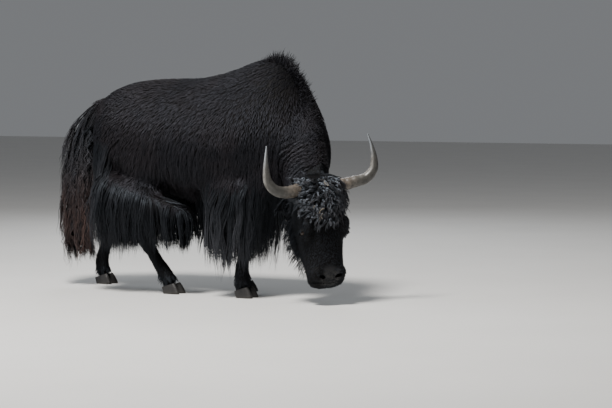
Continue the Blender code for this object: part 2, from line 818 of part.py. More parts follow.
def lid_slit(mirror):
    """The almond opening between the lids, as a long lens-shaped cutter."""
    axes = eye_frame(mirror)
    centre = on_head(EYE, mirror)
    rings = []
    for depth in (0.004, EYE_RADIUS + 3 * LID_THICK):
        ring = []
        for j in range(16):
            angle = 2 * math.pi * j / 16
            across = math.cos(angle) * LID_WIDTH
            up = math.copysign(abs(math.sin(angle)) ** 1.4, math.sin(angle)) * LID_OPEN
            ring.append(centre + axes @ Vector((across, up, depth)))
        rings.append(ring)
    return loft("slit", rings)


def nostril(mirror):
    """A slanting oval hole in the wing of the nose."""
    along = HEAD_AXES @ Vector((NOSTRIL_RUN.x * mirror, NOSTRIL_RUN.y, NOSTRIL_RUN.z))
    inward = HEAD_AXES @ Vector((NOSTRIL_IN.x * mirror, NOSTRIL_IN.y, NOSTRIL_IN.z))
    inward.normalize()
    across = inward.cross(along).normalized()
    along = across.cross(inward).normalized()
    axes = Matrix((along, across, inward)).transposed()
    return ball("nostril", on_head(NOSTRIL, mirror), NOSTRIL_RADII, axes, 2)


def mouth_line():
    """The line of the mouth: a thin curved plate that parts the lips round the muzzle."""
    rings = []
    for turn in np.linspace(-MOUTH_REACH, MOUTH_REACH, 15):
        side = math.sin(math.radians(turn))
        ahead = math.cos(math.radians(turn))
        down = MOUTH_DOWN - MOUTH_CORNER_RISE * max(0.0, 0.25 - ahead) - MOUTH_SIDE_RISE * abs(side)
        ring = []
        for (wide, middle, reach, half), order in ((MOUTH_OUTER, (-1, 1)), (MOUTH_INNER, (1, -1))):
            for edge in order:
                ring.append(on_head((side * wide, down + edge * half, middle + reach * ahead)))
        rings.append(ring)
    return loft("mouth", rings)


def lock(path, facing, width, thick):
    """A flat lock that tapers to its tip: four-sided rings along a path, its flat side facing one way."""
    last = len(path) - 1
    points = []
    for i, point in enumerate(path[:-1]):
        t = i / last
        along = (path[i + 1] - path[max(i - 1, 0)]).normalized()
        across = along.cross(facing).normalized()
        out = across.cross(along).normalized()
        size = (0.80 + 0.9 * t - 1.25 * t * t)
        half = across * (width / 2 * size)
        deep = out * (thick / 2 * (1.0 - 0.55 * t))
        points += [point + half, point + deep, point - half, point - deep]
    points.append(path[-1])
    faces = [(0, 1, 2, 3)]
    for i in range(last - 1):
        for j in range(4):
            k = (j + 1) % 4
            faces.append((4 * i + j, 4 * i + k, 4 * i + 4 + k, 4 * i + 4 + j))
    tip = 4 * last
    for j in range(4):
        faces.append((tip - 4 + j, tip - 4 + (j + 1) % 4, tip))
    return new_object("lock", points, faces)


def bent_path(root, out, belly, tip, sway, parts):
    """A lock's path: from a sunk root over a crown and a belly to the tip, with a slight wave across."""
    crown = root + out
    points = [root]
    for i in range(1, parts + 1):
        t = i / parts
        a = crown.lerp(belly, t)
        b = belly.lerp(tip, t)
        points.append(a.lerp(b, t) + sway * math.sin(2.6 * t * math.pi) * t * (1.3 - t))
    points[-1] = tip
    return points


def surface(item):
    """A tree that finds where a ray meets an object's surface."""
    work = bmesh.new()
    work.from_mesh(item.data)
    tree = BVHTree.FromBMesh(work)
    work.free()
    return tree


def hem_height(x):
    """The height of the skirt's hem at a station."""
    stations = [row[0] for row in HEM][::-1]
    heights = [row[1] for row in HEM][::-1]
    return float(np.interp(x, stations, heights))


def stations(first, last, spacing):
    """Evenly spaced numbers from first to last."""
    return np.linspace(first, last, max(2, round(abs(last - first) / spacing) + 1))


def side_locks(tree, side, chance):
    """The hanging locks of one side, tier above tier, the last tiers down to the hem."""
    locks = []
    for tier, (high, low, first, last, spacing, width, trail, hang) in enumerate(SIDE_TIERS):
        for x in stations(first, last, spacing):
            x += chance.uniform(-0.25, 0.25) * spacing
            z = high + chance.uniform(-0.03, 0.03)
            hit, normal = tree.ray_cast(Vector((x, side * 2.0, z)), Vector((0.0, -side, 0.0)))[:2]
            if hit is None:
                continue
            back = -trail - 0.09 * min(1.0, max(0.0, (-0.85 - x) / 0.3)) * (1.0 if side > 0 else 0.2)
            tip_x = x + back + chance.uniform(-0.012, 0.012)
            floor = hem_height(tip_x) if low is None else low
            drop = chance.uniform(0.0, 0.045) + (0.02 if tier == len(SIDE_TIERS) - 1 else 0.0)
            hang_y = max(LEAST_HANG, hang - 0.30 * max(0.0, 0.335 - abs(hit.y)))
            hang_y += chance.uniform(-0.006, 0.006)
            tip = Vector((tip_x, side * (hang_y - 0.012), floor + drop))
            root = hit - normal * ROOT_DEPTH
            out = normal * (ROOT_DEPTH + 0.010)
            level = hit.z - 0.45 * (hit.z - tip.z)
            belly = Vector((hit.x + back * 0.35, side * max(abs(hit.y) + 0.012, hang_y), level))
            sway = Vector((chance.choice((-1, 1)) * 0.014, 0.0, 0.0))
            wide = width * chance.uniform(0.85, 1.15)
            path = bent_path(root, out, belly, tip, sway, 4)
            locks.append(lock(path, Vector((0.0, side, 0.0)), wide, LOCK_THICK))
    return locks


def rear_locks(tree, chance):
    """Locks over the buttocks, on both sides of the tail."""
    locks = []
    for high, low in REAR_LOCKS:
        for y in stations(-REAR_HALF_WIDTH, REAR_HALF_WIDTH, REAR_SPACING):
            z = high + chance.uniform(-0.02, 0.02)
            hit, normal = tree.ray_cast(Vector((-2.5, y, z)), Vector((1.0, 0.0, 0.0)))[:2]
            if hit is None or hit.x > -0.95:
                continue
            if low < 0.5 and 0.06 < y < 0.25:
                continue
            tip_x = hit.x - 0.012 + (0.02 if abs(y) > 0.15 else 0.0)
            tip = Vector((tip_x, y * 1.08, low + chance.uniform(0.0, 0.05)))
            root = hit - normal * ROOT_DEPTH
            out = normal * (ROOT_DEPTH + 0.008)
            belly = Vector((hit.x - 0.014, y * 1.04, hit.z - 0.45 * (hit.z - tip.z)))
            sway = Vector((0.0, chance.choice((-1, 1)) * 0.010, 0.0))
            path = bent_path(root, out, belly, tip, sway, 4)
            locks.append(lock(path, Vector((-1.0, 0.0, 0.0)), REAR_LOCK_WIDTH, LOCK_THICK))
    return locks


def brisket_locks(tree, chance):
    """The fringe that hangs from the brisket, between and before the forelegs."""
    locks = []
    for x, low in BRISKET_LOCKS:
        for y in stations(-0.15, 0.15, 0.100):
            y += chance.uniform(-0.01, 0.01)
            hit = tree.ray_cast(Vector((x, y, 0.0)), Vector((0.0, 0.0, 1.0)))[0]
            if hit is None or hit.z < low + 0.08:
                continue
            tip = Vector((x - 0.01, y * 0.9, low + chance.uniform(0.0, 0.04)))
            root = hit + Vector((0.0, 0.0, ROOT_DEPTH))
            belly = hit.lerp(tip, 0.5) + Vector((0.012, 0.0, 0.0))
            path = bent_path(root, Vector((0.0, 0.0, -ROOT_DEPTH)), belly, tip, Vector((0.0, 0.008, 0.0)), 3)
            locks.append(lock(path, Vector((1.0, 0.0, 0.0)), FRINGE_WIDTH, LOCK_THICK))
    return locks


def crest_locks(tree, ridge, chance):
    """Upright locks along a ridge: each stands on the surface that a ray from outside meets."""
    locks = []
    for number, (start, inward, lie) in enumerate(ridge):
        spread = 1 if number % 2 else -1
        aim = (inward + lie.cross(inward) * (0.32 * spread)).normalized()
        hit = tree.ray_cast(start - aim * 0.4, aim)[0]
        if hit is None:
            continue
        length = CREST_LENGTH * chance.uniform(0.8, 1.15)
        root = hit + inward.normalized() * ROOT_DEPTH
        tip = hit - aim * length * 0.22 + lie * length
        belly = hit - aim * length * 0.34 + lie * length * 0.30
        facing = lie.cross(aim).normalized() * spread
        path = bent_path(root, -inward.normalized() * ROOT_DEPTH, belly, tip, Vector((0.0, 0.0, 0.0)), 3)
        locks.append(lock(path, facing, CREST_WIDTH, LOCK_THICK))
    return locks


def hump_crest(tree, chance):
    """Locks on top of the hump that lean forwards, each square to the back where it stands."""
    ridge = []
    for x in stations(*HUMP_CREST, CREST_SPACING):
        lean = math.radians(HUMP_LEAN + HUMP_LEAN_CHANGE * max(0.0, x))
        inward = Vector((-math.sin(lean) * 0.8, 0.0, -math.cos(lean)))
        ahead = Vector((math.cos(lean), 0.0, -math.sin(lean)))
        ridge.append((Vector((x, 0.0, 1.30)), inward, (ahead - inward * 0.15).normalized()))
    return crest_locks(tree, ridge, chance)


def neck_crest(tree, chance):
    """Locks along the upper edge of the neck, lying down towards the poll."""
    rows = spline([(*row[0], *row[1]) for row in NECK], 40)
    ridge = []
    for i in range(14, 34, 2):
        upper = Vector(rows[i][:3])
        lie = (Vector(rows[i + 1][:3]) - upper).normalized()
        inward = (Vector(rows[i][3:6]) - upper).normalized()
        ridge.append((upper, inward, lie))
    return crest_locks(tree, ridge, chance)


def neck_fringe(tree, chance):
    """Locks that hang from the throat and the lower edge of the neck."""
    rows = spline([(*upper, *lower, half, heading) for upper, lower, half, heading in NECK], 40)
    locks = []
    for i in range(14, 31, 4):
        upper = Vector(rows[i][:3])
        lower = Vector(rows[i][3:6])
        left = heading_vector(rows[i][7] + 90)
        for spread in (-0.45, 0.0, 0.45):
            start = lower + (lower - upper) * 0.3 + left * (spread * rows[i][6] * 1.3)
            aim = (upper - lower).normalized()
            hit = tree.ray_cast(start, aim)[0]
            if hit is None:
                continue
            length = FRINGE_LENGTH * chance.uniform(0.8, 1.15)
            root = hit + aim * ROOT_DEPTH
            tip = hit + Vector((-0.02, 0.0, -length)) + left * spread * 0.02
            belly = hit + Vector((0.006, 0.0, -length * 0.45)) + left * spread * 0.05
            path = bent_path(root, -aim * ROOT_DEPTH, belly, tip, left * 0.008, 3)
            locks.append(lock(path, left * (1 if spread >= 0 else -1), FRINGE_WIDTH, LOCK_THICK))
    return locks


def torso_locks(tree, chance):
    """All the locks of the torso: both sides, rear, brisket and the hump's crest."""
    locks = side_locks(tree, -1, chance) + side_locks(tree, 1, chance)
    return locks + rear_locks(tree, chance) + brisket_locks(tree, chance) + hump_crest(tree, chance)


def tail_locks(tree, chance):
    """Locks laid round the tail's core from the rump to the tip of its brush."""
    rows = [(*point, core, hair) for point, core, hair in TAIL]
    path = spline(rows, 60)
    locks = []
    for i in range(TAIL_LOCK_ROWS):
        place = 6 + int(i * 44 / (TAIL_LOCK_ROWS - 1))
        row = path[place]
        centre = Vector(row[:3])
        for j in range(TAIL_LOCKS_ROUND):
            angle = 2 * math.pi * (j + 0.5 * (i % 2)) / TAIL_LOCKS_ROUND + chance.uniform(-0.12, 0.12)
            way = Vector((math.cos(angle), math.sin(angle), 0.0))
            if way.x > 0.2 and i < 3:
                continue
            hit = tree.ray_cast(centre + way * 0.3, -way)[0]
            if hit is None:
                continue
            root = hit - way * TAIL_ROOT_DEPTH
            length = TAIL_LOCK_LENGTH * chance.uniform(0.85, 1.15)
            low_z = max(TAIL_LOWEST + chance.uniform(0.0, 0.05), centre.z - length)
            place_low = int(np.argmin(abs(path[:, 2] - low_z)))
            below = path[place_low]
            tip = Vector((below[0], below[1], low_z)) + way * float(below[4]) * chance.uniform(0.75, 0.95)
            middle = path[(place + place_low) // 2]
            belly = Vector(middle[:3]) + way * float(middle[4]) * 1.05
            sway = way.cross(Vector((0.0, 0.0, 1.0))) * (0.018 * chance.choice((-1, 1)))
            out = way * (TAIL_ROOT_DEPTH + 0.5 * (float(row[4]) - float(row[3])))
            locks.append(lock(bent_path(root, out, belly, tip, sway, 4), way, TAIL_LOCK_WIDTH, LOCK_THICK))
    return locks


def forelock(tree, chance):
    """Clumps over the forehead, parted from the crown and lying down and outwards."""
    down = HEAD_AXES.col[1]
    front = HEAD_AXES.col[2]
    locks = []
    for height, spread, count in FORELOCK_ROWS:
        for side in stations(-spread, spread, 2 * spread / (count - 1)):
            side += chance.uniform(-0.008, 0.008)
            start = on_head((side, height + chance.uniform(-0.006, 0.006), 0.2))
            hit, normal = tree.ray_cast(start, -front)[:2]
            if hit is None:
                continue
            length = FORELOCK_LENGTH * chance.uniform(0.8, 1.2)
            lie = (down + HEAD_AXES.col[0] * (side * 4.5 + chance.uniform(-0.25, 0.25))).normalized()
            lie = (lie - normal * lie.dot(normal)).normalized()
            root = hit - normal * 0.012
            tip = hit + lie * length + normal * 0.006
            end, end_normal = tree.ray_cast(tip + normal * 0.15, -normal)[:2]
            if end is not None:
                tip = end + end_normal * 0.008
            belly = hit + lie * length * 0.45 + normal * 0.022
            sway = normal.cross(lie) * (0.012 * chance.choice((-1, 1)))
            path = bent_path(root, normal * 0.020, belly, tip, sway, 3)
            locks.append(lock(path, normal, FORELOCK_WIDTH * chance.uniform(0.85, 1.15), HEAD_LOCK_THICK))
    return locks


def jaw_locks(tree, chance):
    """The fringe of the jaw, from below the ear to the chin, on both sides."""
    down = HEAD_AXES.col[1]
    front = HEAD_AXES.col[2]
    first, last, count = JAW_FRINGE
    locks = []
    for mirror in (-1, 1):
        for height in np.linspace(first, last, count):
            start = on_head((0.045, height, -0.6), mirror)
            hit = tree.ray_cast(start, front)[0]
            if hit is None:
                continue
            length = JAW_LENGTH * chance.uniform(0.85, 1.15)
            root = hit + front * 0.016
            tip = hit + down * length * 0.8 - front * length * 0.30
            belly = hit + down * length * 0.35 - front * length * 0.30
            path = bent_path(root, -front * 0.016, belly, tip, Vector((0.0, 0.0, 0.0)), 3)
            locks.append(lock(path, -front, JAW_WIDTH, HEAD_LOCK_THICK))
    return locks


def paint(item, name, colour, roughness, metallic=0.0):
    """Give an object its own material."""
    material = bpy.data.materials.new(name)
    material.use_nodes = True
    shader = material.node_tree.nodes["Principled BSDF"]
    shader.inputs["Base Color"].default_value = (*colour, 1.0)
    shader.inputs["Roughness"].default_value = roughness
    shader.inputs["Metallic"].default_value = metallic
    item.data.materials.clear()
    item.data.materials.append(material)
    item.data.shade_smooth()
    item.data.set_sharp_from_angle(angle=math.radians(40))


COAT = (0.030, 0.026, 0.025)
HORN_COLOUR = (0.42, 0.38, 0.33)
HOOF_COLOUR = (0.05, 0.045, 0.04)
EYE_COLOUR = (0.012, 0.010, 0.009)


def build_legs():
    """The four legs below the trunk, their claws, and the upper legs that belong to the torso."""
    uppers = []
    nodes = []
    for name, joints in LEGS.items():
        rows = [(*point, fore, side) for point, fore, side in joints]
        whole = sweep("leg_" + name, rows, LEG_RINGS, LEG_RING)
        uppers.append(sweep("upper", rows[:5], UPPER_LEG_RINGS, LEG_RING))
        melt(whole, LEG_VOXEL, LEG_ROUNDS, LEG_TRIANGLES)
        foot = Vector((joints[-1][0].x + FOOT_AHEAD, joints[-1][0].y, 0.0))
        slope = math.radians(HOOF_SLOPE)
        normal = Vector((-math.sin(slope), 0.0, math.cos(slope)))
        top = foot + Vector((0.0, 0.0, HOOF_TOP + GAP))
        boolean(whole, [half_space(top, -normal)], "DIFFERENCE")
        cut = Vector((0.0, 0.0, LEG_CUT_HEIGHT))
        boolean(whole, [half_space(cut, Vector((0.0, 0.0, 1.0)))], "DIFFERENCE")
        paint(whole, "coat " + name, COAT, 0.9)
        nodes.append(whole)
        for side, word in ((-1, "right"), (1, "left")):
            one = claw("hoof_" + name + "_" + word, foot, side)
            paint(one, "hoof " + name + word, HOOF_COLOUR, 0.6)
            nodes.append(one)
    return nodes, uppers


def recentre(nodes):
    """Move everything so that the middle of the model's box stands over the origin."""
    corners = np.array([vert.co for item in nodes for vert in item.data.vertices])
    middle = (corners.min(axis=0) + corners.max(axis=0)) / 2
    for item in nodes:
        item.data.transform(Matrix.Translation((-middle[0], -middle[1], 0.0)))


def build():
    """Make every node."""
    for item in list(bpy.data.objects):
        bpy.data.objects.remove(item)

    legs, uppers = build_legs()
    torso = join("torso", [trunk(), neck()] + uppers)
    melt(torso, BODY_VOXEL, BODY_ROUNDS, BODY_TRIANGLES)
    root_cut = (NECK_ROOT_CUT[0], tilted_normal(*NECK_ROOT_CUT[1:]))
    head_cut = (NECK_HEAD_CUT[0], tilted_normal(*NECK_HEAD_CUT[1:]))
    neck_node = part_by(torso, *root_cut, "neck")
    stub = part_by(neck_node, *head_cut, "head_stub")
    bpy.data.objects.remove(stub)
    cut = Vector((0.0, 0.0, LEG_CUT_HEIGHT + GAP / 2))
    boolean(torso, [half_space(cut, Vector((0.0, 0.0, -1.0)))], "DIFFERENCE")

    head = join("head", [skull()] + head_swellings())
    melt(head, HEAD_VOXEL, HEAD_ROUNDS, HEAD_TRIANGLES)
    boolean(head, [half_space(head_cut[0] + head_cut[1] * (GAP / 2), -head_cut[1])], "DIFFERENCE")
    boolean(head, [eye("lids", side, EYE_RADIUS + LID_THICK) for side in (-1, 1)], "UNION")

    tail = sweep("tail", [(*row[0], row[1], row[1]) for row in TAIL], TAIL_RINGS, TAIL_RING)
    grow_locks(tail, tail_locks, TAIL_WITH_LOCKS)
    boolean(tail, [grown(torso)], "DIFFERENCE")
    grow_locks(torso, lambda tree, chance: clipped(torso_locks(tree, chance), *root_cut), TORSO_WITH_LOCKS)
    for item in legs:
        if item.name.startswith("leg"):
            boolean(item, [grown(torso)], "DIFFERENCE")

    def neck_locks(tree, chance):
        locks = neck_crest(tree, chance) + neck_fringe(tree, chance)
        return clipped(clipped(locks, *head_cut), root_cut[0], -root_cut[1])

    def head_locks(tree, chance):
        return clipped(forelock(tree, chance) + jaw_locks(tree, chance), head_cut[0], -head_cut[1])

    grow_locks(neck_node, neck_locks, NECK_WITH_LOCKS)
    grow_locks(head, head_locks, HEAD_WITH_LOCKS)

    growths = []
    for side, word in ((-1, "right"), (1, "left")):
        one = horn("horn_" + word, side)
        paint(one, "horn " + word, HORN_COLOUR, 0.5)
        growths.append(one)
        one = ear("ear_" + word, side)
        paint(one, "coat ear " + word, COAT, 0.9)
        growths.append(one)
    openings = [mouth_line()] + [grown(one, 2 * GAP) for one in growths]
    for side in (-1, 1):
        openings += [eye("socket", side, EYE_RADIUS + GAP), lid_slit(side), nostril(side)]
    boolean(head, openings, "DIFFERENCE")
    boolean(neck_node, [grown(one, 2 * GAP) for one in growths], "DIFFERENCE")

    paint(torso, "coat torso", COAT, 0.9)
    paint(neck_node, "coat neck", COAT, 0.9)
    paint(head, "coat head", COAT, 0.9)
    paint(tail, "coat tail", COAT, 0.9)
    nodes = [torso, neck_node, head, tail] + legs + growths
    for side, word in ((-1, "right"), (1, "left")):
        one = eye("eye_" + word, side, EYE_RADIUS)
        paint(one, "eye " + word, EYE_COLOUR, 0.1)
        nodes.append(one)
    recentre(nodes)


build()
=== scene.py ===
"""The looks of a life-size still model of a grazing domestic yak bull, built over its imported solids.

Lengths are metres. The tables are in drawing coordinates: +X is the way the body faces, +Y its left, and the
hump's top stands over the origin. The right eye's solid says how far these are from the frame's coordinates.
"""

import math

import bmesh
import bpy
import numpy as np
from mathutils import Matrix, Vector
from mathutils.bvhtree import BVHTree
from mathutils.kdtree import KDTree


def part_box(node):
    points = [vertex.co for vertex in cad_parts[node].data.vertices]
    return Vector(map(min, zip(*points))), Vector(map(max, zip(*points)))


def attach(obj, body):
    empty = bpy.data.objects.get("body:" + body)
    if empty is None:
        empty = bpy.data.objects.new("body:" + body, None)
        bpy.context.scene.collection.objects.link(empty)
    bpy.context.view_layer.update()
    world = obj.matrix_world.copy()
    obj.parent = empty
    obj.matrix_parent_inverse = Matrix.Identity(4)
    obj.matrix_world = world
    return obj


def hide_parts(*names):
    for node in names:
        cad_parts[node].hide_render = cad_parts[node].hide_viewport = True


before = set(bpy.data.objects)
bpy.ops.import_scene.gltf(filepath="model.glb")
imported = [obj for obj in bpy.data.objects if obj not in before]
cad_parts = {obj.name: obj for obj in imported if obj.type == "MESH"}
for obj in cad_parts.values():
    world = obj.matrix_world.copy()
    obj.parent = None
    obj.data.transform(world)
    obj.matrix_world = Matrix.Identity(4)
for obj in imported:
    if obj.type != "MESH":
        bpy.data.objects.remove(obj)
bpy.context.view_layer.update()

SEED = 5
DOWN = np.array([0.0, 0.0, -1.0])

# The photo's camera: its direction, its distance and the point it looks at, in drawing coordinates
CAMERA_AZIMUTH = 27.0
CAMERA_ELEVATION = 3.5
CAMERA_DISTANCE = 11.0
CAMERA_LENS = 110.65
CAMERA_TARGET = Vector((0.157, 0.125, 0.535))

# The studio: half the floor's width, the lights' aim, each light's place, size, power and colour, and the sky
FLOOR_HALF = 30
LIGHTS_AIM = (0.0, 0.1, 0.6)
LIGHTS = (
    ("key", (0.2, -3.2, 6.2), 1.5, 860.0, (1.0, 0.98, 0.95)),
    ("fill", (-4.2, -4.2, 3.0), 3.0, 70.0, (0.86, 0.93, 1.0)),
    ("rim", (-2.5, 4.6, 4.2), 3.0, 120.0, (0.9, 0.95, 1.0)),
)
WORLD_COLOUR = (0.86, 0.89, 0.93, 1.0)
WORLD_STRENGTH = 0.22

# The trunk, rear to front: x, height of the back, height of the belly, half width, pinch of the upper half
TRUNK = (
    (-1.185, 1.0, 0.85, 0.06, 0.0),
    (-1.16, 1.09, 0.79, 0.125, 0.0),
    (-1.09, 1.175, 0.71, 0.195, 0.1),
    (-1.0, 1.225, 0.65, 0.245, 0.15),
    (-0.85, 1.258, 0.62, 0.28, 0.2),
    (-0.67, 1.27, 0.58, 0.305, 0.25),
    (-0.45, 1.275, 0.545, 0.33, 0.28),
    (-0.25, 1.315, 0.535, 0.335, 0.35),
    (-0.12, 1.362, 0.54, 0.322, 0.43),
    (0.0, 1.388, 0.555, 0.3, 0.48),
    (0.08, 1.38, 0.565, 0.282, 0.5),
    (0.15, 1.32, 0.58, 0.262, 0.45),
    (0.22, 1.215, 0.6, 0.235, 0.35),
    (0.28, 1.09, 0.64, 0.185, 0.2),
    (0.33, 0.96, 0.7, 0.12, 0.0),
)
TRUNK_WIDEST = 0.42
TRUNK_SQUARE = 0.85

# The neck, from the withers to behind the poll: upper point, lower point, half width, heading in degrees
NECK = (
    ((0.05, 0.0, 1.31), (0.06, 0.0, 0.6), 0.195, 0),
    ((0.18, -0.01, 1.25), (0.15, -0.03, 0.565), 0.172, -8),
    ((0.285, -0.06, 1.125), (0.195, -0.09, 0.53), 0.152, -16),
    ((0.36, -0.125, 0.995), (0.22, -0.15, 0.495), 0.138, -24),
    ((0.415, -0.19, 0.87), (0.24, -0.205, 0.465), 0.13, -31),
    ((0.445, -0.25, 0.765), (0.265, -0.25, 0.44), 0.12, -38),
    ((0.465, -0.29, 0.69), (0.3, -0.285, 0.43), 0.108, -38),
)
NECK_PINCH = 0.62
NECK_ROOT_CUT = (np.array([0.225, -0.04, 0.85]), -14, 8)
NECK_HEAD_CUT = (np.array([0.34, -0.235, 0.64]), -36, 22)

# The head hangs from the poll; these set where it is and how it is turned
POLL = Vector((0.498, -0.328, 0.727))
HEAD_YAW = -39
HEAD_PITCH = 85
HEAD_ROLL = 3

# The head, poll to muzzle: distance down, front of the face, back of the jaw, half width, narrowing below
SKULL = (
    (-0.012, -0.08, -0.13, 0.055, 0.0),
    (0.0, -0.045, -0.165, 0.098, 0.0),
    (0.03, -0.012, -0.215, 0.13, 0.04),
    (0.085, 0.01, -0.255, 0.144, 0.08),
    (0.16, 0.014, -0.288, 0.148, 0.1),
    (0.225, 0.01, -0.308, 0.145, 0.12),
    (0.29, 0.004, -0.314, 0.138, 0.13),
    (0.365, -0.004, -0.3, 0.126, 0.14),
    (0.44, -0.01, -0.264, 0.115, 0.13),
    (0.5, -0.012, -0.218, 0.109, 0.12),
    (0.548, -0.018, -0.176, 0.11, 0.1),
    (0.588, -0.034, -0.155, 0.106, 0.08),
    (0.612, -0.058, -0.138, 0.088, 0.05),
    (0.626, -0.085, -0.114, 0.044, 0.0),
)
SKULL_WIDEST = 0.42
SKULL_SQUARE = 0.75

# Ovals melted into the head: centre (side, down, front) and radii; those off the middle plane are mirrored
SWELLINGS = (
    ((0.108, 0.27, -0.02), (0.032, 0.044, 0.024)),
    ((0.106, 0.311, -0.052), (0.034, 0.042, 0.038)),
    ((0.088, 0.32, -0.205), (0.046, 0.125, 0.095)),
    ((0.064, 0.54, -0.045), (0.04, 0.045, 0.038)),
    ((0.0, 0.588, -0.08), (0.084, 0.032, 0.054)),
    ((0.0, 0.562, -0.138), (0.062, 0.048, 0.03)),
)

# Eye: its place, radius and look, the cornea's share and rise, and the lids' slant, thickness and opening
EYE = (0.126, 0.308, -0.052)
EYE_RADIUS = 0.02
EYE_LOOK = (0.84, 0.06, 0.54)
CORNEA_SHARE = 0.62
CORNEA_RISE = 0.0016
LID_SLANT = 0.15
LID_THICK = 0.006
LID_OPEN = 0.0115
LID_WIDTH = 0.0225

# The nose's middle, and the nostril: its place, the way its length runs, the way in, and its radii
NOSE = (0.0, 0.56, -0.04)
NOSTRIL = (0.05, 0.56, -0.014)
NOSTRIL_RUN = (0.55, -0.35, 0.1)
NOSTRIL_IN = (-0.25, -0.35, -1.0)
NOSTRIL_RADII = (0.023, 0.011, 0.036)

# Horn: points along its axis (side, down, front) and the radius at each
HORN = (
    ((0.1, 0.062, -0.07), 0.038),
    ((0.15, 0.066, -0.064), 0.036),
    ((0.214, 0.066, -0.052), 0.033),
    ((0.279, 0.051, -0.04), 0.03),
    ((0.322, 0.006, -0.03), 0.026),
    ((0.331, -0.064, -0.026), 0.018),
    ((0.324, -0.13, -0.03), 0.01),
    ((0.311, -0.196, -0.04), 0.003),
)
HORN_FLAT = 0.9
HORN_DROP = {1: -0.02, -1: 0.01}
HORN_ROOT_RUN = 0.11
# The side of the horns painted darker: partly the horn's own darker colour, partly painted shade on the side
# turned away from the light
HORN_DARK_AND_SHADED_SIDE = (0.85, 0.43, -0.3)

# Ear: root, tip, greatest half width and thickness, and the way its cup opens
EAR_ROOT = (0.105, 0.085, -0.15)
EAR_TIP = (0.222, 0.18, -0.212)
EAR_HALF_WIDTH = 0.04
EAR_THICK = 0.008
EAR_OPENS = (0.25, 0.35, 1.0)
EAR_STEPS = 36
EAR_ACROSS = 26

# Legs: joints from the trunk down to the coronet, each with its fore-and-aft and its sideways radius
LEGS = {
    "fore_right": (
        (0.05, -0.19, 0.86, 0.15, 0.08), (-0.03, -0.2, 0.64, 0.105, 0.07),
        (-0.075, -0.17, 0.49, 0.062, 0.052), (-0.095, -0.155, 0.34, 0.05, 0.046),
        (-0.112, -0.15, 0.22, 0.035, 0.034), (-0.12, -0.15, 0.13, 0.043, 0.042),
        (-0.105, -0.15, 0.06, 0.042, 0.045),
    ),
    "fore_left": (
        (0.03, 0.19, 0.86, 0.15, 0.08), (-0.09, 0.2, 0.64, 0.105, 0.07),
        (-0.18, 0.17, 0.49, 0.062, 0.052), (-0.23, 0.155, 0.34, 0.05, 0.046),
        (-0.265, 0.15, 0.22, 0.035, 0.034), (-0.285, 0.15, 0.13, 0.043, 0.042),
        (-0.27, 0.15, 0.06, 0.042, 0.045),
    ),
    "hind_right": (
        (-0.9, -0.15, 1.0, 0.2, 0.11), (-0.72, -0.21, 0.74, 0.16, 0.085),
        (-0.73, -0.2, 0.56, 0.1, 0.065), (-0.785, -0.165, 0.37, 0.058, 0.045),
        (-0.71, -0.155, 0.22, 0.037, 0.034), (-0.64, -0.15, 0.12, 0.043, 0.042),
        (-0.595, -0.15, 0.06, 0.042, 0.045),
    ),
    "hind_left": (
        (-0.93, 0.15, 1.0, 0.2, 0.11), (-0.95, 0.21, 0.74, 0.16, 0.085),
        (-1.08, 0.2, 0.57, 0.1, 0.065), (-1.215, 0.168, 0.4, 0.056, 0.045),
        (-1.255, 0.162, 0.25, 0.037, 0.034), (-1.285, 0.16, 0.125, 0.043, 0.042),
        (-1.268, 0.16, 0.06, 0.042, 0.045),
    ),
}

# Hoof: two claws side by side, with a flat sole and a top that slopes down to the heel. A claw's outline from
# above is in shares of its length and width, outer wall first. Its size and place change with its height.
CLAW_LENGTH = 0.108
CLAW_WIDTH = 0.05
CLAW_SPLAY = 6
CLAW_APART = 0.006
CLAW_OUTLINE = (
    (-0.48, 0.26), (-0.4, 0.46), (-0.1, 0.5), (0.22, 0.47), (0.42, 0.34), (0.52, 0.05),
    (0.48, -0.12), (0.2, -0.42), (-0.12, -0.46), (-0.4, -0.42), (-0.48, -0.2),
)
CLAW_HEIGHTS = (0.0, 0.12, 0.55, 1.0)
CLAW_SIZES = (1.0, 1.01, 0.92, 0.8)
CLAW_BACK = (0.0, -0.01, -0.11, -0.22)
HOOF_TOP = 0.058
HOOF_SLOPE = 18
FOOT_AHEAD = 0.018

# The skin below this height, other than the head, is the legs
LEG_TOP = 0.44

# Tail: the axis of its dock and brush, with the radius of its core
TAIL = (
    (-1.08, 0.0, 1.13, 0.045), (-1.18, 0.0, 1.105, 0.05), (-1.275, -0.004, 1.0, 0.052),
    (-1.325, -0.008, 0.85, 0.056), (-1.35, -0.012, 0.68, 0.058), (-1.358, -0.018, 0.5, 0.05),
    (-1.352, -0.022, 0.35, 0.03), (-1.34, -0.024, 0.24, 0.008),
)

# The whorl of the forehead and its bleached places: side and down
WHORL = (-0.02, 0.085)
WHORL_TURN = 0.6
BLEACHED = ((-0.005, 0.02), (-0.035, 0.165))

# The skirt's hem: x and height
HEM = (
    (0.2, 0.43), (0.12, 0.36), (0.05, 0.28), (-0.03, 0.215), (-0.11, 0.18), (-0.2, 0.175),
    (-0.26, 0.19), (-0.3, 0.25), (-0.35, 0.215), (-0.4, 0.235), (-0.45, 0.27), (-0.7, 0.275),
    (-0.95, 0.255), (-1.15, 0.24), (-1.3, 0.24),
)


def unit(vectors):
    """Vectors of length one."""
    return vectors / (np.linalg.norm(vectors, axis=-1, keepdims=True) + 1e-12)


def heading_vector(degrees):
    """The level direction at an angle from +X."""
    return np.array([math.cos(math.radians(degrees)), math.sin(math.radians(degrees)), 0.0])


def cut_normal(heading, tilt):
    """A parting plane's normal at a heading, turned down by its tilt."""
    return heading_vector(heading) * math.cos(math.radians(tilt)) + DOWN * math.sin(math.radians(tilt))


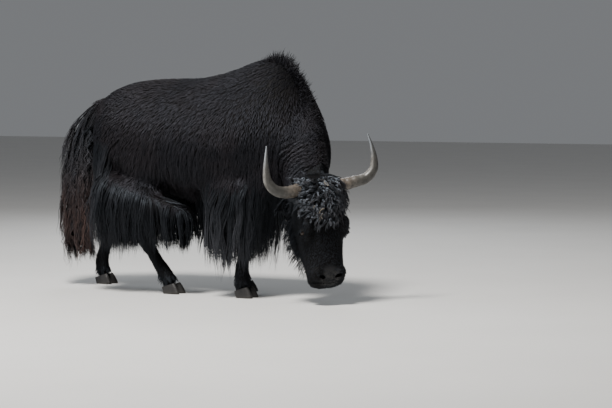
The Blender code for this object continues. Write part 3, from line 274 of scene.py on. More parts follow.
def head_axes():
    """The head's directions as columns: to its left, down the face, out of the face."""
    yaw = Matrix.Rotation(math.radians(HEAD_YAW), 3, "Z")
    pitch = Matrix.Rotation(math.radians(HEAD_PITCH), 3, "Y")
    roll = Matrix.Rotation(math.radians(HEAD_ROLL), 3, "X")
    down = yaw @ roll @ pitch @ Vector((1.0, 0.0, 0.0))
    front = yaw @ roll @ pitch @ Vector((0.0, 0.0, 1.0))
    left = yaw @ roll @ Vector((0.0, 1.0, 0.0))
    return Matrix((left, down, front)).transposed()


HEAD_AXES = head_axes()
HEAD_TURN = np.array(HEAD_AXES)
POLL_POINT = np.array(POLL)


def head_way(way, mirror):
    """A direction given as side, down and front, on the left (1) or right (-1) of the head."""
    side, down, front = way
    return HEAD_AXES @ Vector((side * mirror, down, front))


def on_head(point, mirror=1):
    """A point given as side, down and front of the poll."""
    return POLL + head_way(point, mirror)


def horn_point(point, mirror):
    """A point of a horn's axis; the left horn is carried higher."""
    side, down, front = point
    away = min(1.0, (side - HORN[0][0][0]) / HORN_ROOT_RUN)
    return on_head((side, down + HORN_DROP[mirror] * away, front), mirror)


def head_places(points):
    """Points as side, down and front of the poll."""
    return (points - POLL_POINT) @ HEAD_TURN


def eye_shift():
    """How far the frame's coordinates are from the drawing's."""
    low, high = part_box("eye_right")
    return (low + high) / 2 - on_head(EYE, -1)


SHIFT = eye_shift()


def spline(rows, count):
    """Rows of numbers, resampled evenly along a smooth curve through them."""
    rows = np.array(rows, float)
    step = np.linalg.norm(np.diff(rows[:, :3], axis=0), axis=1)
    place = np.concatenate([[0.0], np.cumsum(step)])
    slope = np.gradient(rows, place, axis=0)
    out = []
    for t in np.linspace(0.0, place[-1], count):
        i = min(int(np.searchsorted(place, t, side="right")) - 1, len(place) - 2)
        h = place[i + 1] - place[i]
        s = (t - place[i]) / h
        out.append((2 * s**3 - 3 * s**2 + 1) * rows[i] + (s**3 - 2 * s**2 + s) * h * slope[i]
                   + (3 * s**2 - 2 * s**3) * rows[i + 1] + (s**3 - s**2) * h * slope[i + 1])
    return np.array(out)


def linked(name, data):
    """A new object in the scene."""
    item = bpy.data.objects.new(name, data)
    bpy.context.scene.collection.objects.link(item)
    return item


def from_work(name, work):
    """A mesh object from a bmesh, which is then freed."""
    mesh = bpy.data.meshes.new(name)
    work.to_mesh(mesh)
    work.free()
    return linked(name, mesh)


def new_object(name, points, faces):
    """A mesh object from points and faces, with its faces turned outwards."""
    mesh = bpy.data.meshes.new(name)
    mesh.from_pydata([tuple(p) for p in points], [], faces)
    work = bmesh.new()
    work.from_mesh(mesh)
    bpy.data.meshes.remove(mesh)
    bmesh.ops.recalc_face_normals(work, faces=work.faces)
    return from_work(name, work)


def loft(name, rings):
    """One closed skin over rings of equally many points, with a flat face at each end."""
    count = len(rings[0])
    faces = []
    for i in range(len(rings) - 1):
        for j in range(count):
            k = (j + 1) % count
            faces.append((i * count + j, i * count + k, (i + 1) * count + k, (i + 1) * count + j))
    faces += [tuple(range(count)), tuple(range((len(rings) - 1) * count, len(rings) * count))]
    return new_object(name, [point for ring in rings for point in ring], faces)


def evaluated(item, modifier):
    """Apply the one modifier of an object to its mesh."""
    mesh = bpy.data.meshes.new_from_object(item.evaluated_get(bpy.context.evaluated_depsgraph_get()))
    item.modifiers.remove(modifier)
    old = item.data
    item.data = mesh
    bpy.data.meshes.remove(old)


def join(name, items):
    """Put several objects' meshes into one object."""
    work = bmesh.new()
    for item in items:
        work.from_mesh(item.data)
        bpy.data.objects.remove(item)
    return from_work(name, work)


def oval(count, square=1.0):
    """A section's points: how high each is, and how far across, squared off."""
    angle = np.linspace(0, 2 * math.pi, count, endpoint=False)
    return np.sin(angle), np.sign(np.cos(angle)) * abs(np.cos(angle)) ** square


def melt(item, voxel, rounds):
    """Blend overlapping closed surfaces into one smooth body."""
    remesh = item.modifiers.new("melt", "REMESH")
    remesh.mode = "VOXEL"
    remesh.voxel_size = voxel
    evaluated(item, remesh)
    smooth = item.modifiers.new("smooth", "SMOOTH")
    smooth.factor = 0.5
    smooth.iterations = rounds
    evaluated(item, smooth)


def trunk():
    """The trunk's loft: an upright oval at each station, pinched towards the spine."""
    rise, across = oval(56, TRUNK_SQUARE)
    rings = []
    for x, top, belly, half, pinch in spline(TRUNK, 60):
        middle = belly + TRUNK_WIDEST * (top - belly)
        side = half * across * (1 - pinch * np.clip(rise, 0, None) ** 2)
        z = middle + rise * np.where(rise > 0, top - middle, middle - belly)
        rings.append(np.stack([np.full_like(side, x), side, z], 1))
    return loft("trunk", rings)


def neck():
    """The neck's loft: each ring stands between an upper and a lower point."""
    rise, across = oval(48)
    rings = []
    for row in spline([(*upper, *lower, half, heading) for upper, lower, half, heading in NECK], 30):
        middle = (row[0:3] + row[3:6]) / 2
        wide = row[6] * across * (1 - NECK_PINCH * np.clip(rise, 0, None) ** 2)
        rings.append(middle + np.outer(wide, heading_vector(row[7] + 90)) + np.outer(rise, row[0:3] - middle))
    return loft("neck", rings)


def skull():
    """The head's loft."""
    rise, across = oval(64, SKULL_SQUARE)
    rings = []
    for down, front, back, half, narrow in spline(SKULL, 60):
        middle = front - SKULL_WIDEST * (front - back)
        side = half * across * (1 - narrow * np.clip(-rise, 0, None) ** 1.5)
        depth = middle + rise * np.where(rise > 0, front - middle, middle - back)
        rings.append(np.stack([side, np.full_like(side, down), depth], 1) @ HEAD_TURN.T + POLL_POINT)
    return loft("skull", rings)


def ball(name, centre, radii, axes=None):
    """A round or oval solid."""
    work = bmesh.new()
    bmesh.ops.create_icosphere(work, subdivisions=4, radius=1.0)
    scale = Matrix.Diagonal(Vector(radii)).to_4x4()
    turn = (axes or Matrix.Identity(3)).to_4x4()
    bmesh.ops.transform(work, matrix=Matrix.Translation(centre) @ turn @ scale, verts=work.verts)
    return from_work(name, work)


def sweep(name, rows, count, sides):
    """A limb along a smooth path: x, y, z, fore-and-aft radius, sideways radius."""
    path = spline(rows, count)
    angle = np.linspace(0, 2 * math.pi, sides, endpoint=False)
    rings = []
    for row, way in zip(path, unit(np.gradient(path[:, :3], axis=0))):
        fore = unit(np.cross([0.0, 1.0, 0.0], way))
        across = unit(np.cross(way, fore))
        wide = np.outer(np.cos(angle) * row[3], fore)
        rings.append(row[:3] + wide + np.outer(np.sin(angle) * row[4], across))
    return loft(name, rings)


def rows_of(items, name, width=3, kind=float):
    """A property of every item of a mesh, as rows."""
    values = np.empty(len(items) * width, kind)
    items.foreach_get(name, values)
    return values.reshape(-1, width)


def mesh_arrays(item):
    """An object's points, point normals and triangles as arrays."""
    mesh = item.data
    mesh.calc_loop_triangles()
    triangles = rows_of(mesh.loop_triangles, "vertices", kind=int)
    return rows_of(mesh.vertices, "co"), rows_of(mesh.vertices, "normal"), triangles


def closest(points, rows, radii=1.0):
    """Distance from the nearest row of a path, in shares of its radius, and which row that is."""
    best = np.full(len(points), 9.0)
    pick = np.zeros(len(points), int)
    for i, (row, radius) in enumerate(zip(rows, np.broadcast_to(radii, len(rows)))):
        gap = np.linalg.norm(points - row, axis=1) / radius
        closer = gap < best
        best[closer] = gap[closer]
        pick[closer] = i
    return best, pick


def tail_near(points):
    """Distance from the tail's axis in shares of its core radius, and how far down it, 0 to 1."""
    path = spline(TAIL, 40)
    near, pick = closest(points, path[:, :3], path[:, 3] + 0.02)
    return near, pick / (len(path) - 1)


def region_of(points):
    """Where each point of the skin belongs: 0 torso, 1 neck, 2 head, 3 leg, 4 tail."""
    region = np.zeros(len(points), int)
    beyond_root = (points - NECK_ROOT_CUT[0]) @ cut_normal(*NECK_ROOT_CUT[1:]) > 0
    beyond_head = (points - NECK_HEAD_CUT[0]) @ cut_normal(*NECK_HEAD_CUT[1:]) > 0
    region[beyond_root] = 1
    region[beyond_head & beyond_root] = 2
    region[(points[:, 2] < LEG_TOP) & ~beyond_root] = 3
    near, place = tail_near(points)
    region[(near < 1.25) & (points[:, 0] < -1.175) & (place > 0.12)] = 4
    return region


def nearest(tree, points):
    """For each point the nearest place on the skin, its normal and the signed distance."""
    place = np.empty_like(points)
    normal = np.empty_like(points)
    for i, point in enumerate(points):
        near, way, _, _ = tree.find_nearest(point)
        place[i] = near
        normal[i] = way
    return place, normal, np.einsum("ij,ij->i", points - place, normal)


def level(values, low, high):
    """Smooth step of values from 0 at low to 1 at high."""
    share = np.clip((values - low) / (high - low), 0.0, 1.0)
    return share * share * (3 - 2 * share)


def combine(item, tools, operation):
    """Unite with, or cut by, every closed object of a list, which is then removed."""
    group = bpy.data.collections.new("tools")
    bpy.context.scene.collection.children.link(group)
    for tool in tools:
        group.objects.link(tool)
    change = item.modifiers.new("change", "BOOLEAN")
    change.operation = operation
    change.solver = "MANIFOLD"
    change.operand_type = "COLLECTION"
    change.collection = group
    evaluated(item, change)
    for tool in tools:
        bpy.data.objects.remove(tool)
    bpy.data.collections.remove(group)


def keep_largest(item):
    """Keep only the closed surface with the most faces."""
    mesh = item.data
    first, second = rows_of(mesh.edges, "vertices", 2, int).T
    label = np.arange(len(mesh.vertices))
    while True:
        low = np.minimum(label[first], label[second])
        new = label.copy()
        np.minimum.at(new, first, low)
        np.minimum.at(new, second, low)
        new = new[new]
        if np.array_equal(new, label):
            break
        label = new
    kinds, counts = np.unique(label, return_counts=True)
    if len(kinds) > 1:
        keep = kinds[counts.argmax()]
        work = bmesh.new()
        work.from_mesh(mesh)
        work.verts.ensure_lookup_table()
        drop = [work.verts[i] for i in np.flatnonzero(label != keep)]
        bmesh.ops.delete(work, geom=drop, context="VERTS")
        work.to_mesh(mesh)
        work.free()


def eye_frame(mirror):
    """The eye's directions as columns: along the lids, up, and out where it looks."""
    out = head_way(EYE_LOOK, mirror).normalized()
    down = HEAD_AXES.col[1]
    across = down.cross(out).normalized()
    slant = (across + down * LID_SLANT).normalized()
    up = out.cross(slant).normalized()
    return Matrix((slant, up, out)).transposed()


def lid_slit(mirror):
    """The almond opening between the lids, as a lens-shaped cutter."""
    axes = eye_frame(mirror)
    centre = on_head(EYE, mirror)
    rings = []
    for depth in (0.004, EYE_RADIUS + 3 * LID_THICK):
        ring = []
        for j in range(40):
            angle = 2 * math.pi * j / 40
            across = math.cos(angle) * LID_WIDTH
            up = math.copysign(abs(math.sin(angle)) ** 1.4, math.sin(angle)) * LID_OPEN
            ring.append(centre + axes @ Vector((across, up, depth)))
        rings.append(ring)
    return loft("slit", rings)


def nostril(mirror):
    """A slanting oval hole in the wing of the nose."""
    inward = head_way(NOSTRIL_IN, mirror).normalized()
    across = inward.cross(head_way(NOSTRIL_RUN, mirror)).normalized()
    along = across.cross(inward).normalized()
    axes = Matrix((along, across, inward)).transposed()
    return ball("nostril", on_head(NOSTRIL, mirror), NOSTRIL_RADII, axes)


# The line of the mouth: how far round the muzzle it goes, how far down it lies, and how its ends rise
MOUTH_REACH = 108
MOUTH_DOWN = 0.599
MOUTH_CORNER_RISE = 0.06
MOUTH_SIDE_RISE = 0.012
MOUTH_OUTER = (0.142, -0.11, 0.108, 0.0032)
MOUTH_INNER = (0.068, -0.124, 0.044, 0.0006)


def mouth_line():
    """The line of the mouth: a thin curved wedge that parts the lips."""
    rings = []
    for turn in np.linspace(-MOUTH_REACH, MOUTH_REACH, 61):
        side = math.sin(math.radians(turn))
        ahead = math.cos(math.radians(turn))
        down = MOUTH_DOWN - MOUTH_CORNER_RISE * max(0.0, 0.25 - ahead) - MOUTH_SIDE_RISE * abs(side)
        ring = []
        for (wide, middle, reach, half), order in ((MOUTH_OUTER, (-1, 1)), (MOUTH_INNER, (1, -1))):
            for edge in order:
                ring.append(on_head((side * wide, down + edge * half, middle + reach * ahead)))
        rings.append(ring)
    return loft("mouth", rings)


def ear(mirror):
    """An ear: a leaf rolled into a cup that opens forwards and down."""
    root = on_head(EAR_ROOT, mirror)
    tip = on_head(EAR_TIP, mirror)
    along = (tip - root).normalized()
    across = along.cross(head_way(EAR_OPENS, mirror).normalized()).normalized()
    opening = across.cross(along).normalized()
    rings = []
    for step in range(EAR_STEPS + 1):
        t = step / EAR_STEPS
        half = max(EAR_HALF_WIDTH * (0.55 + 1.2 * t - 1.72 * t * t), 0.003)
        roll = 1.0 - 0.75 * t
        thick = EAR_THICK * (1.0 - 0.7 * t)
        centre = root.lerp(tip, t) + opening * 0.01 * math.sin(math.pi * t)
        outer = []
        inner = []
        for j in range(EAR_ACROSS + 1):
            angle = (j / EAR_ACROSS - 0.5) * math.pi * (0.55 + 0.7 * roll)
            out = across * math.sin(angle) * half - opening * (math.cos(angle) * half * 0.8)
            inward = -(across * math.sin(angle) - opening * math.cos(angle)) * thick
            outer.append(centre + out)
            inner.append(centre + out + inward)
        rings.append(outer + inner[::-1])
    return loft("ear", rings)


# How fine the skin's and the head's surfaces are, and the room round the eyeball
SKIN_VOXEL = 0.01
HEAD_VOXEL = 0.0045
EYE_ROOM = 0.0004

# How far the skin lies inside the solids: under the sleek coat, under the long hair, and on the lower leg
COAT_DEPTH = 0.009
SKIRT_DEPTH = 0.016
LEG_DEPTH = 0.003

# The fold of hide from the hip down to the stifle and the belly: x, y, z and its thickness, on the right side
FLANK_FOLD = (
    (-1.04, -0.185, 0.64, 0.085), (-0.94, -0.225, 0.62, 0.088), (-0.85, -0.245, 0.6, 0.085),
    (-0.71, -0.252, 0.57, 0.08), (-0.59, -0.258, 0.535, 0.068), (-0.48, -0.248, 0.505, 0.055),
    (-0.4, -0.215, 0.48, 0.036),
)
LEFT_FOLD_BACK = -0.09
FOLD_CREASE = 0.042
SHOULDER = ((-0.15, -0.205, 0.61), (0.18, 0.112, 0.19))
LEFT_SHOULDER_BACK = -0.07

# The wrinkles of the neck: the place they circle (side, down, front); how far apart they and the ripples are
WRINKLE_FOCUS = (0.075, 0.035, -0.1)
WRINKLE_APART = 0.026
RIPPLE_APART = 0.029


def fold_height(x, y):
    """The height of the fold's upper edge on either side of the body."""
    table = np.array(FLANK_FOLD)
    back = np.where(y > 0, LEFT_FOLD_BACK, 0.0)
    return np.interp(x - back, table[:, 0], table[:, 2] + table[:, 3])


def wrinkle_reach(points):
    """The way from the place that the wrinkles circle, on the nearer side of the neck."""
    ways = [points - np.array(on_head(WRINKLE_FOCUS, mirror)) for mirror in (1, -1)]
    nearer = np.linalg.norm(ways[0], axis=1) < np.linalg.norm(ways[1], axis=1)
    return np.where(nearer[:, None], ways[0], ways[1])


def neck_ripple(points):
    """Rows of wrinkles across the neck: how high, and how strong they are there."""
    x, y, z = points.T
    gap = np.linalg.norm(wrinkle_reach(points), axis=1)
    sway = 0.005 * np.sin(x * 27 + y * 19) + 0.003 * np.sin(y * 51 + z * 37)
    fade = level(gap, 0.06, 0.1) * (1 - level(gap, 0.24, 0.36)) * level(x, 0.1, 0.18)
    return np.sin((gap + sway) * 2 * math.pi / WRINKLE_APART) * fade, fade


def flank_ripple(points):
    """Upright ripples of the coat, strongest on the ribs, faint elsewhere on flank and shoulder."""
    x, y, z = points.T
    sway = 0.007 * np.sin(z * 23 + x * 9) + 0.004 * np.sin(z * 47 + x * 31)
    rows = np.sin((x - 0.2 * z + sway) * 2 * math.pi / RIPPLE_APART + 0.9 * np.sin(x * 21 + z * 6))
    ribs = level(x, -0.75, -0.55) * (1 - level(x, -0.38, -0.28)) * level(-z, -1.1, -0.9)
    rows = rows * (0.28 + 0.72 * ribs) * level(-z, -1.3, -1.05)
    return rows * level(z, 0.52, 0.66) * level(np.abs(y), 0.06, 0.16)


def shape_body(points, normals):
    """Sink the skin under its coat, and press in the creases of flank and elbow."""
    x, y, z = points.T
    side = level(np.abs(y), 0.1, 0.2)
    depth = LEG_DEPTH + (SKIRT_DEPTH - LEG_DEPTH) * level(z, 0.4, 0.5)
    depth = depth + (COAT_DEPTH - SKIRT_DEPTH) * level(z, 0.66, 0.8)
    depth = np.where(tail_near(points)[0] < 1.2, LEG_DEPTH, depth)
    back = np.where(y > 0, LEFT_FOLD_BACK, 0.0)
    above = z - fold_height(x, y) - 0.03
    crease = np.exp(-(above / 0.038) ** 2) * level(x - back, -0.8, -0.55) * (1 - level(x - back, -0.38, -0.3))
    gap = np.exp(-((x - back * 0.9 + 0.375) / 0.032) ** 2) * (1 - level(z, 0.6, 0.72))
    elbow = np.exp(-((x + 0.05) / 0.09) ** 2 - ((z - 0.705 - 0.2 * (x + 0.05)) / 0.024) ** 2)
    depth = depth + side * (FOLD_CREASE * crease + 0.04 * gap + 0.014 * elbow)
    return points - normals * depth[:, None]


def make_skin():
    """The whole hide in one closed surface, with lids, nostrils, lips and ears."""
    parts = [trunk(), neck()]
    for joints in LEGS.values():
        parts.append(sweep("leg", joints, 60, 24))
    for mirror, back in ((1, 0.0), (-1, LEFT_FOLD_BACK)):
        rows = [(x + back, y * mirror, z, thick, thick) for x, y, z, thick in FLANK_FOLD]
        parts.append(sweep("fold", rows, 40, 24))
        (x, y, z), radii = SHOULDER
        shift = LEFT_SHOULDER_BACK if mirror < 0 else 0.0
        parts.append(ball("shoulder", Vector((x + shift, y * mirror, z)), radii))
    parts.append(sweep("tail", [(*row[:3], row[3] * 0.8, row[3] * 0.8) for row in TAIL], 50, 20))
    skin = join("skin", parts)
    melt(skin, SKIN_VOXEL, 7)
    points, normals, _ = mesh_arrays(skin)
    skin.data.vertices.foreach_set("co", shape_body(points, normals).ravel())
    skin.data.update()

    lumps = []
    for centre, radii in SWELLINGS:
        for mirror in ((1, -1) if centre[0] else (1,)):
            lumps.append(ball("lump", on_head(centre, mirror), radii, HEAD_AXES))
    head = join("head", [skull()] + lumps)
    melt(head, HEAD_VOXEL, 5)
    ears = [ear(mirror) for mirror in (1, -1)]
    lids = [ball("lids", on_head(EYE, mirror), [EYE_RADIUS + LID_THICK] * 3) for mirror in (1, -1)]
    combine(head, lids, "UNION")
    openings = [mouth_line()]
    for mirror in (1, -1):
        openings.append(ball("socket", on_head(EYE, mirror), [EYE_RADIUS + EYE_ROOM] * 3))
        openings += [lid_slit(mirror), nostril(mirror)]
    combine(head, openings, "DIFFERENCE")
    combine(skin, [head] + ears, "UNION")
    keep_largest(skin)
    skin.name = "skin"
    skin.data.shade_smooth()
    skin.data.set_sharp_from_angle(angle=math.radians(55))
    return skin


def horn(name, mirror):
    """A horn: oval in section, swept out, up and in to its point, with growth rings."""
    path = spline([(*horn_point(point, mirror), radius) for point, radius in HORN], 120)
    along = unit(np.gradient(path[:, :3], axis=0))
    across = np.array(HEAD_AXES.col[2])
    place = np.linspace(0, 1, len(path))
    rings_of_growth = np.sin(place * 75 + 1.5 * np.sin(place * 9)) * np.clip(0.55 - place, 0, 1) * 0.0022
    rings = []
    angle = np.linspace(0, 2 * math.pi, 40, endpoint=False)
    for row, way, ring in zip(path, along, rings_of_growth):
        other = unit(np.cross(across, way))
        front = unit(np.cross(way, other))
        radius = row[3] + ring * (1 + 0.4 * np.sin(angle * 2 + mirror))
        wide = np.outer(np.cos(angle) * HORN_FLAT * radius, front)
        rings.append(row[:3] + wide + np.outer(np.sin(angle) * radius, other))
    item = loft(name, rings)
    item.data.shade_smooth()
    return item


def closed_spline(points, count):
    """A smooth closed curve through points, resampled."""
    rows = np.array([(*p, 0.0) for p in points])
    wrapped = np.concatenate([rows[-3:], rows, rows[:4]])
    path = spline(wrapped, 40 * len(wrapped))
    first = np.linalg.norm(path - rows[0], axis=1)[:200].argmin()
    back = np.linalg.norm(path[first + 200:] - rows[0], axis=1).argmin() + first + 200
    keep = path[first:back]
    return keep[np.linspace(0, len(keep), count, endpoint=False).astype(int)][:, :2]


def claw(name, foot, side):
    """One claw: flat sole, upright outer wall, pointed toe, growth rings and a sloping top."""
    ahead = heading_vector(CLAW_SPLAY * side)
    across = heading_vector(CLAW_SPLAY * side + 90)
    middle = foot + np.array([0.0, side * (CLAW_WIDTH + CLAW_APART) / 2, 0.0])
    outline = closed_spline(CLAW_OUTLINE, 48)
    rings = []
    for part in np.concatenate([[0.0, 0.0, 0.02], np.linspace(0.06, 1.0, 24)]):
        size = np.interp(part, CLAW_HEIGHTS, CLAW_SIZES) + 0.007 * math.sin(part * 38) * (part > 0.1)
        back = np.interp(part, CLAW_HEIGHTS, CLAW_BACK)
        if not rings:
            size = size * 0.94
        x = (outline[:, 0] * size + back) * CLAW_LENGTH
        y = outline[:, 1] * size * CLAW_WIDTH * side
        top = HOOF_TOP + x * math.tan(math.radians(HOOF_SLOPE))
        ring = middle + np.outer(x, ahead) + np.outer(y, across)
        ring[:, 2] = top * part
        rings.append(ring)
    item = loft(name, rings)
    item.data.shade_smooth()
    item.data.set_sharp_from_angle(angle=math.radians(50))
    return item


def eyeball(name, mirror):
    """An eyeball whose cornea stands out; it looks along its own Z, with the lids along X."""
    work = bmesh.new()
    bmesh.ops.create_uvsphere(work, u_segments=64, v_segments=48, radius=EYE_RADIUS)
    for vert in work.verts:
        off = math.hypot(vert.co.x, vert.co.y) / (EYE_RADIUS * CORNEA_SHARE)
        if vert.co.z > 0 and off < 1.0:
            vert.co.z += CORNEA_RISE * (1 - off ** 2) ** 0.8
    item = from_work(name, work)
    item.matrix_world = Matrix.Translation(on_head(EYE, mirror) + SHIFT) @ eye_frame(mirror).to_4x4()
    item.data.shade_smooth()
    return item


def place(item):
    """Move a piece drawn in drawing coordinates to where the frame has it."""
    item.data.transform(Matrix.Translation(SHIFT))
    item.data.update()


class Look:
    """A material, with short ways to add the nodes that feed its shader."""

    def __init__(self, name):
        self.material = bpy.data.materials.new(name)
        self.material.use_nodes = True
        self.tree = self.material.node_tree
        self.where = self.add("ShaderNodeTexCoord").outputs["Object"]

    def give(self, socket, value):
        """Link a socket to another, or set its value."""
        if isinstance(value, bpy.types.NodeSocket):
            self.tree.links.new(value, socket)
        else:
            socket.default_value = value

    def put(self, name, value):
        """Feed one input of the shader."""
        self.give(self.tree.nodes["Principled BSDF"].inputs[name], value)

    def add(self, kind, inputs=None, **settings):
        node = self.tree.nodes.new(kind)
        for key, value in settings.items():
            setattr(node, key, value)
        for key, value in (inputs or {}).items():
            self.give(node.inputs[key], value)
        return node

    def noise(self, scale, detail, roughness=0.5):
        inputs = {"Vector": self.where, "Scale": scale, "Detail": detail, "Roughness": roughness}
        return self.add("ShaderNodeTexNoise", inputs).outputs["Fac"]

    def height(self):
        return self.add("ShaderNodeSeparateXYZ", {0: self.where}).outputs["Z"]

    def maths(self, operation, first, second):
        return self.add("ShaderNodeMath", {0: first, 1: second}, operation=operation).outputs[0]

    def vector(self, operation, first, second, output):
        return self.add("ShaderNodeVectorMath", {0: first, 1: second}, operation=operation).outputs[output]

    def gap(self, place):
        """Distance from a place."""
        return self.vector("DISTANCE", self.where, tuple(place), "Value")

    def mix(self, share, first, second):
        """A colour mixed from two colours by a share."""
        node = self.add("ShaderNodeMix", data_type="RGBA")
        for key, value in ((0, share), (6, first), (7, second)):
            self.give(node.inputs[key], (*value, 1.0) if isinstance(value, tuple) else value)
        return node.outputs[2]

    def spread(self, value, low, high, out_low=0.0, out_high=1.0):
        """A value mapped smoothly from one range to another."""
        inputs = {"Value": value, "From Min": low, "From Max": high, "To Min": out_low, "To Max": out_high}
        return self.add("ShaderNodeMapRange", inputs, interpolation_type="SMOOTHSTEP").outputs["Result"]

    def bump(self, height, strength, distance):
        node = self.add("ShaderNodeBump", {"Height": height, "Strength": strength, "Distance": distance})
        self.put("Normal", node.outputs["Normal"])


def coat_material(name, root, tip, tinge, tinge_share, roughness=0.58, tip_from=0.35, bleach=None, gloss=0.27,
                  sheen=(0.72, 0.84, 1.0), low_tip=None):
    """Hair: dark at the root, paler at the tip, with patches of another tinge."""
    look = Look(name)
    along = look.add("ShaderNodeAttribute", attribute_name="along").outputs["Fac"]
    tone = look.add("ShaderNodeAttribute", attribute_name="tone").outputs["Fac"]
    broad = look.noise(3.5, 4.0, 0.6)
    fine = look.noise(60.0, 3.0)
    base = look.mix(look.spread(broad, 0.42, 0.62, 0.0, tinge_share), root, tinge)
    reach = look.spread(along, tip_from, 1.0)
    if low_tip:
        tip = look.mix(look.spread(look.height(), 0.45, 0.8), low_tip, tip)
    # The tone attribute carries the painted light and painted shade of the coat's shade functions, besides
    # each lock's own random tone
    colour = look.mix(look.maths("MULTIPLY", reach, tone), base, tip)
    if bleach:
        colour = look.mix(look.maths("MULTIPLY", look.spread(tone, 0.8, 1.0), reach), colour, bleach)
    dim = look.spread(fine, 0.3, 0.7, 0.7, 1.25)
    patchy = look.add("ShaderNodeHueSaturation", {"Color": colour, "Value": dim})
    look.put("Base Color", patchy.outputs["Color"])
    look.put("Roughness", look.spread(fine, 0.2, 0.8, roughness - 0.07, roughness + 0.07))
    look.put("Specular IOR Level", gloss)
    look.put("Specular Tint", (*sheen, 1.0))
    return look.material


def skin_material():
    """Dark hide, with short hair's grain; the bare nose is grey-black and pebbled."""
    look = Look("hide")
    broad = look.spread(look.noise(6.0, 5.0), 0.35, 0.65)
    base = look.mix(broad, (0.0016, 0.0015, 0.0017), (0.0036, 0.0031, 0.0031))
    bare = look.spread(look.gap(on_head(NOSE) + SHIFT), 0.045, 0.08, 1.0, 0.0)
    pebble = look.add("ShaderNodeTexVoronoi", {"Vector": look.where, "Scale": 260.0}).outputs["Distance"]
    nose = look.mix(look.spread(pebble, 0.1, 0.5), (0.012, 0.0115, 0.013), (0.005, 0.0047, 0.0052))
    look.put("Base Color", look.mix(bare, base, nose))
    look.put("Roughness", look.spread(bare, 0.0, 1.0, 0.7, 0.36))
    look.put("Specular IOR Level", look.spread(bare, 0.0, 1.0, 0.1, 0.4))
    height = look.maths("MULTIPLY", pebble, bare)
    look.bump(look.maths("ADD", height, look.noise(320.0, 3.0)), 0.5, 0.0015)
    return look.material


def horn_material(mirror):
    """Horn: tan-grey at the root, bluish white towards the tip, darker on one side, partly its own colour and
    partly painted shade, finely grained.
    """
    look = Look("horn left" if mirror > 0 else "horn right")
    near_root, near_tip = (look.gap(horn_point(HORN[end][0], mirror) + SHIFT) for end in (0, -1))
    grain = look.noise(45.0, 6.0, 0.65)
    streak = look.spread(grain, 0.35, 0.65)
    pale = look.mix(streak, (0.095, 0.088, 0.078), (0.235, 0.225, 0.208))
    base = look.mix(streak, (0.042, 0.034, 0.027), (0.14, 0.113, 0.088))
    white = look.mix(streak, (0.2, 0.225, 0.255), (0.33, 0.365, 0.405))
    colour = look.mix(look.spread(near_root, 0.05, 0.22), base, pale)
    colour = look.mix(look.spread(near_tip, 0.02, 0.16, 0.8, 0.0), colour, white)
    # Painted shade, partly the horn's own darker colour: the side turned away from the light is darkened,
    # less so at the root
    facing = look.add("ShaderNodeTexCoord").outputs["Normal"]
    turned = look.vector("DOT_PRODUCT", facing, HORN_DARK_AND_SHADED_SIDE, "Value")
    edge = look.spread(look.maths("ADD", grain, turned), -0.05, 0.5, 0.0, 0.86)
    dark = look.maths("MULTIPLY", edge, look.spread(near_root, 0.06, 0.17, 0.15, 1.0))
    look.put("Base Color", look.mix(dark, colour, (0.024, 0.023, 0.02)))
    look.put("Roughness", look.spread(streak, 0.0, 1.0, 0.5, 0.34))
    look.bump(grain, 0.35, 0.002)
    return look.material


def hoof_material():
    """Hoof horn: dark grey-brown, paler in bands that follow its growth, dusty at the sole."""
    look = Look("hoof horn")
    noise = look.noise(55.0, 5.0)
    inputs = {"Vector": look.where, "Scale": 38.0, "Distortion": 2.5, "Detail": 3.0}
    bands = look.add("ShaderNodeTexWave", inputs, bands_direction="Z").outputs["Fac"]
    colour = look.mix(look.spread(bands, 0.3, 0.8), (0.008, 0.0075, 0.0075), (0.02, 0.0175, 0.016))
    dust = look.spread(look.height(), 0.0, 0.03, 0.35, 0.0)
    look.put("Base Color", look.mix(dust, colour, (0.05, 0.044, 0.037)))
    look.put("Roughness", look.spread(noise, 0.3, 0.7, 0.42, 0.62))
    look.bump(noise, 0.35, 0.0015)
    return look.material


def eye_material():
    """A wet dark eye: a level oval pupil in a deep brown iris, with a dim white at its rim."""
    look = Look("eye")
    flat = look.vector("MULTIPLY", look.where, (1.0, 1.0, 0.0), "Vector")
    off = look.vector("LENGTH", flat, (0.0, 0.0, 0.0), "Value")
    squeezed = look.vector("MULTIPLY", flat, (0.62, 1.15, 0.0), "Vector")
    oval_off = look.vector("LENGTH", squeezed, (0.0, 0.0, 0.0), "Value")
    fibre = look.spread(look.noise(900.0, 2.0), 0.3, 0.7)
    colour = look.mix(fibre, (0.02, 0.01, 0.005), (0.045, 0.022, 0.01))
    colour = look.mix(look.spread(oval_off, 0.0036, 0.0044, 1.0, 0.0), colour, (0.002, 0.002, 0.003))
    colour = look.mix(look.spread(off, 0.0112, 0.0128), colour, (0.03, 0.024, 0.021))
    colour = look.mix(look.spread(look.height(), 0.004, 0.01, 1.0, 0.0), colour, (0.05, 0.035, 0.03))
    look.put("Base Color", colour)
    look.put("Roughness", 0.3)
    look.put("Specular IOR Level", 0.2)
    look.put("Coat Weight", 0.7)
    look.put("Coat Roughness", 0.02)
    return look.material


def wear(item, material):
    item.data.materials.clear()
    item.data.materials.append(material)


def camera():
    """The camera where the photo's stood."""
    turn = math.radians(CAMERA_AZIMUTH)
    rise = math.radians(CAMERA_ELEVATION)
    back = Vector((math.sin(turn) * math.cos(rise), -math.cos(turn) * math.cos(rise), math.sin(rise)))
    item = linked("camera", bpy.data.cameras.new("camera"))
    item.data.lens = CAMERA_LENS
    item.data.sensor_width = 36.0
    item.location = CAMERA_TARGET + SHIFT + back * CAMERA_DISTANCE
    item.rotation_euler = back.to_track_quat("Z", "Y").to_euler()
    bpy.context.scene.camera = item


def soft_light(name, place, size, power, colour):
    """A large area light that looks at the animal's middle."""
    item = linked(name, bpy.data.lights.new(name, "AREA"))
    item.data.size = size
    item.data.energy = power
    item.data.color = colour
    item.location = place
    item.rotation_euler = (Vector(place) - Vector(LIGHTS_AIM)).to_track_quat("Z", "Y").to_euler()


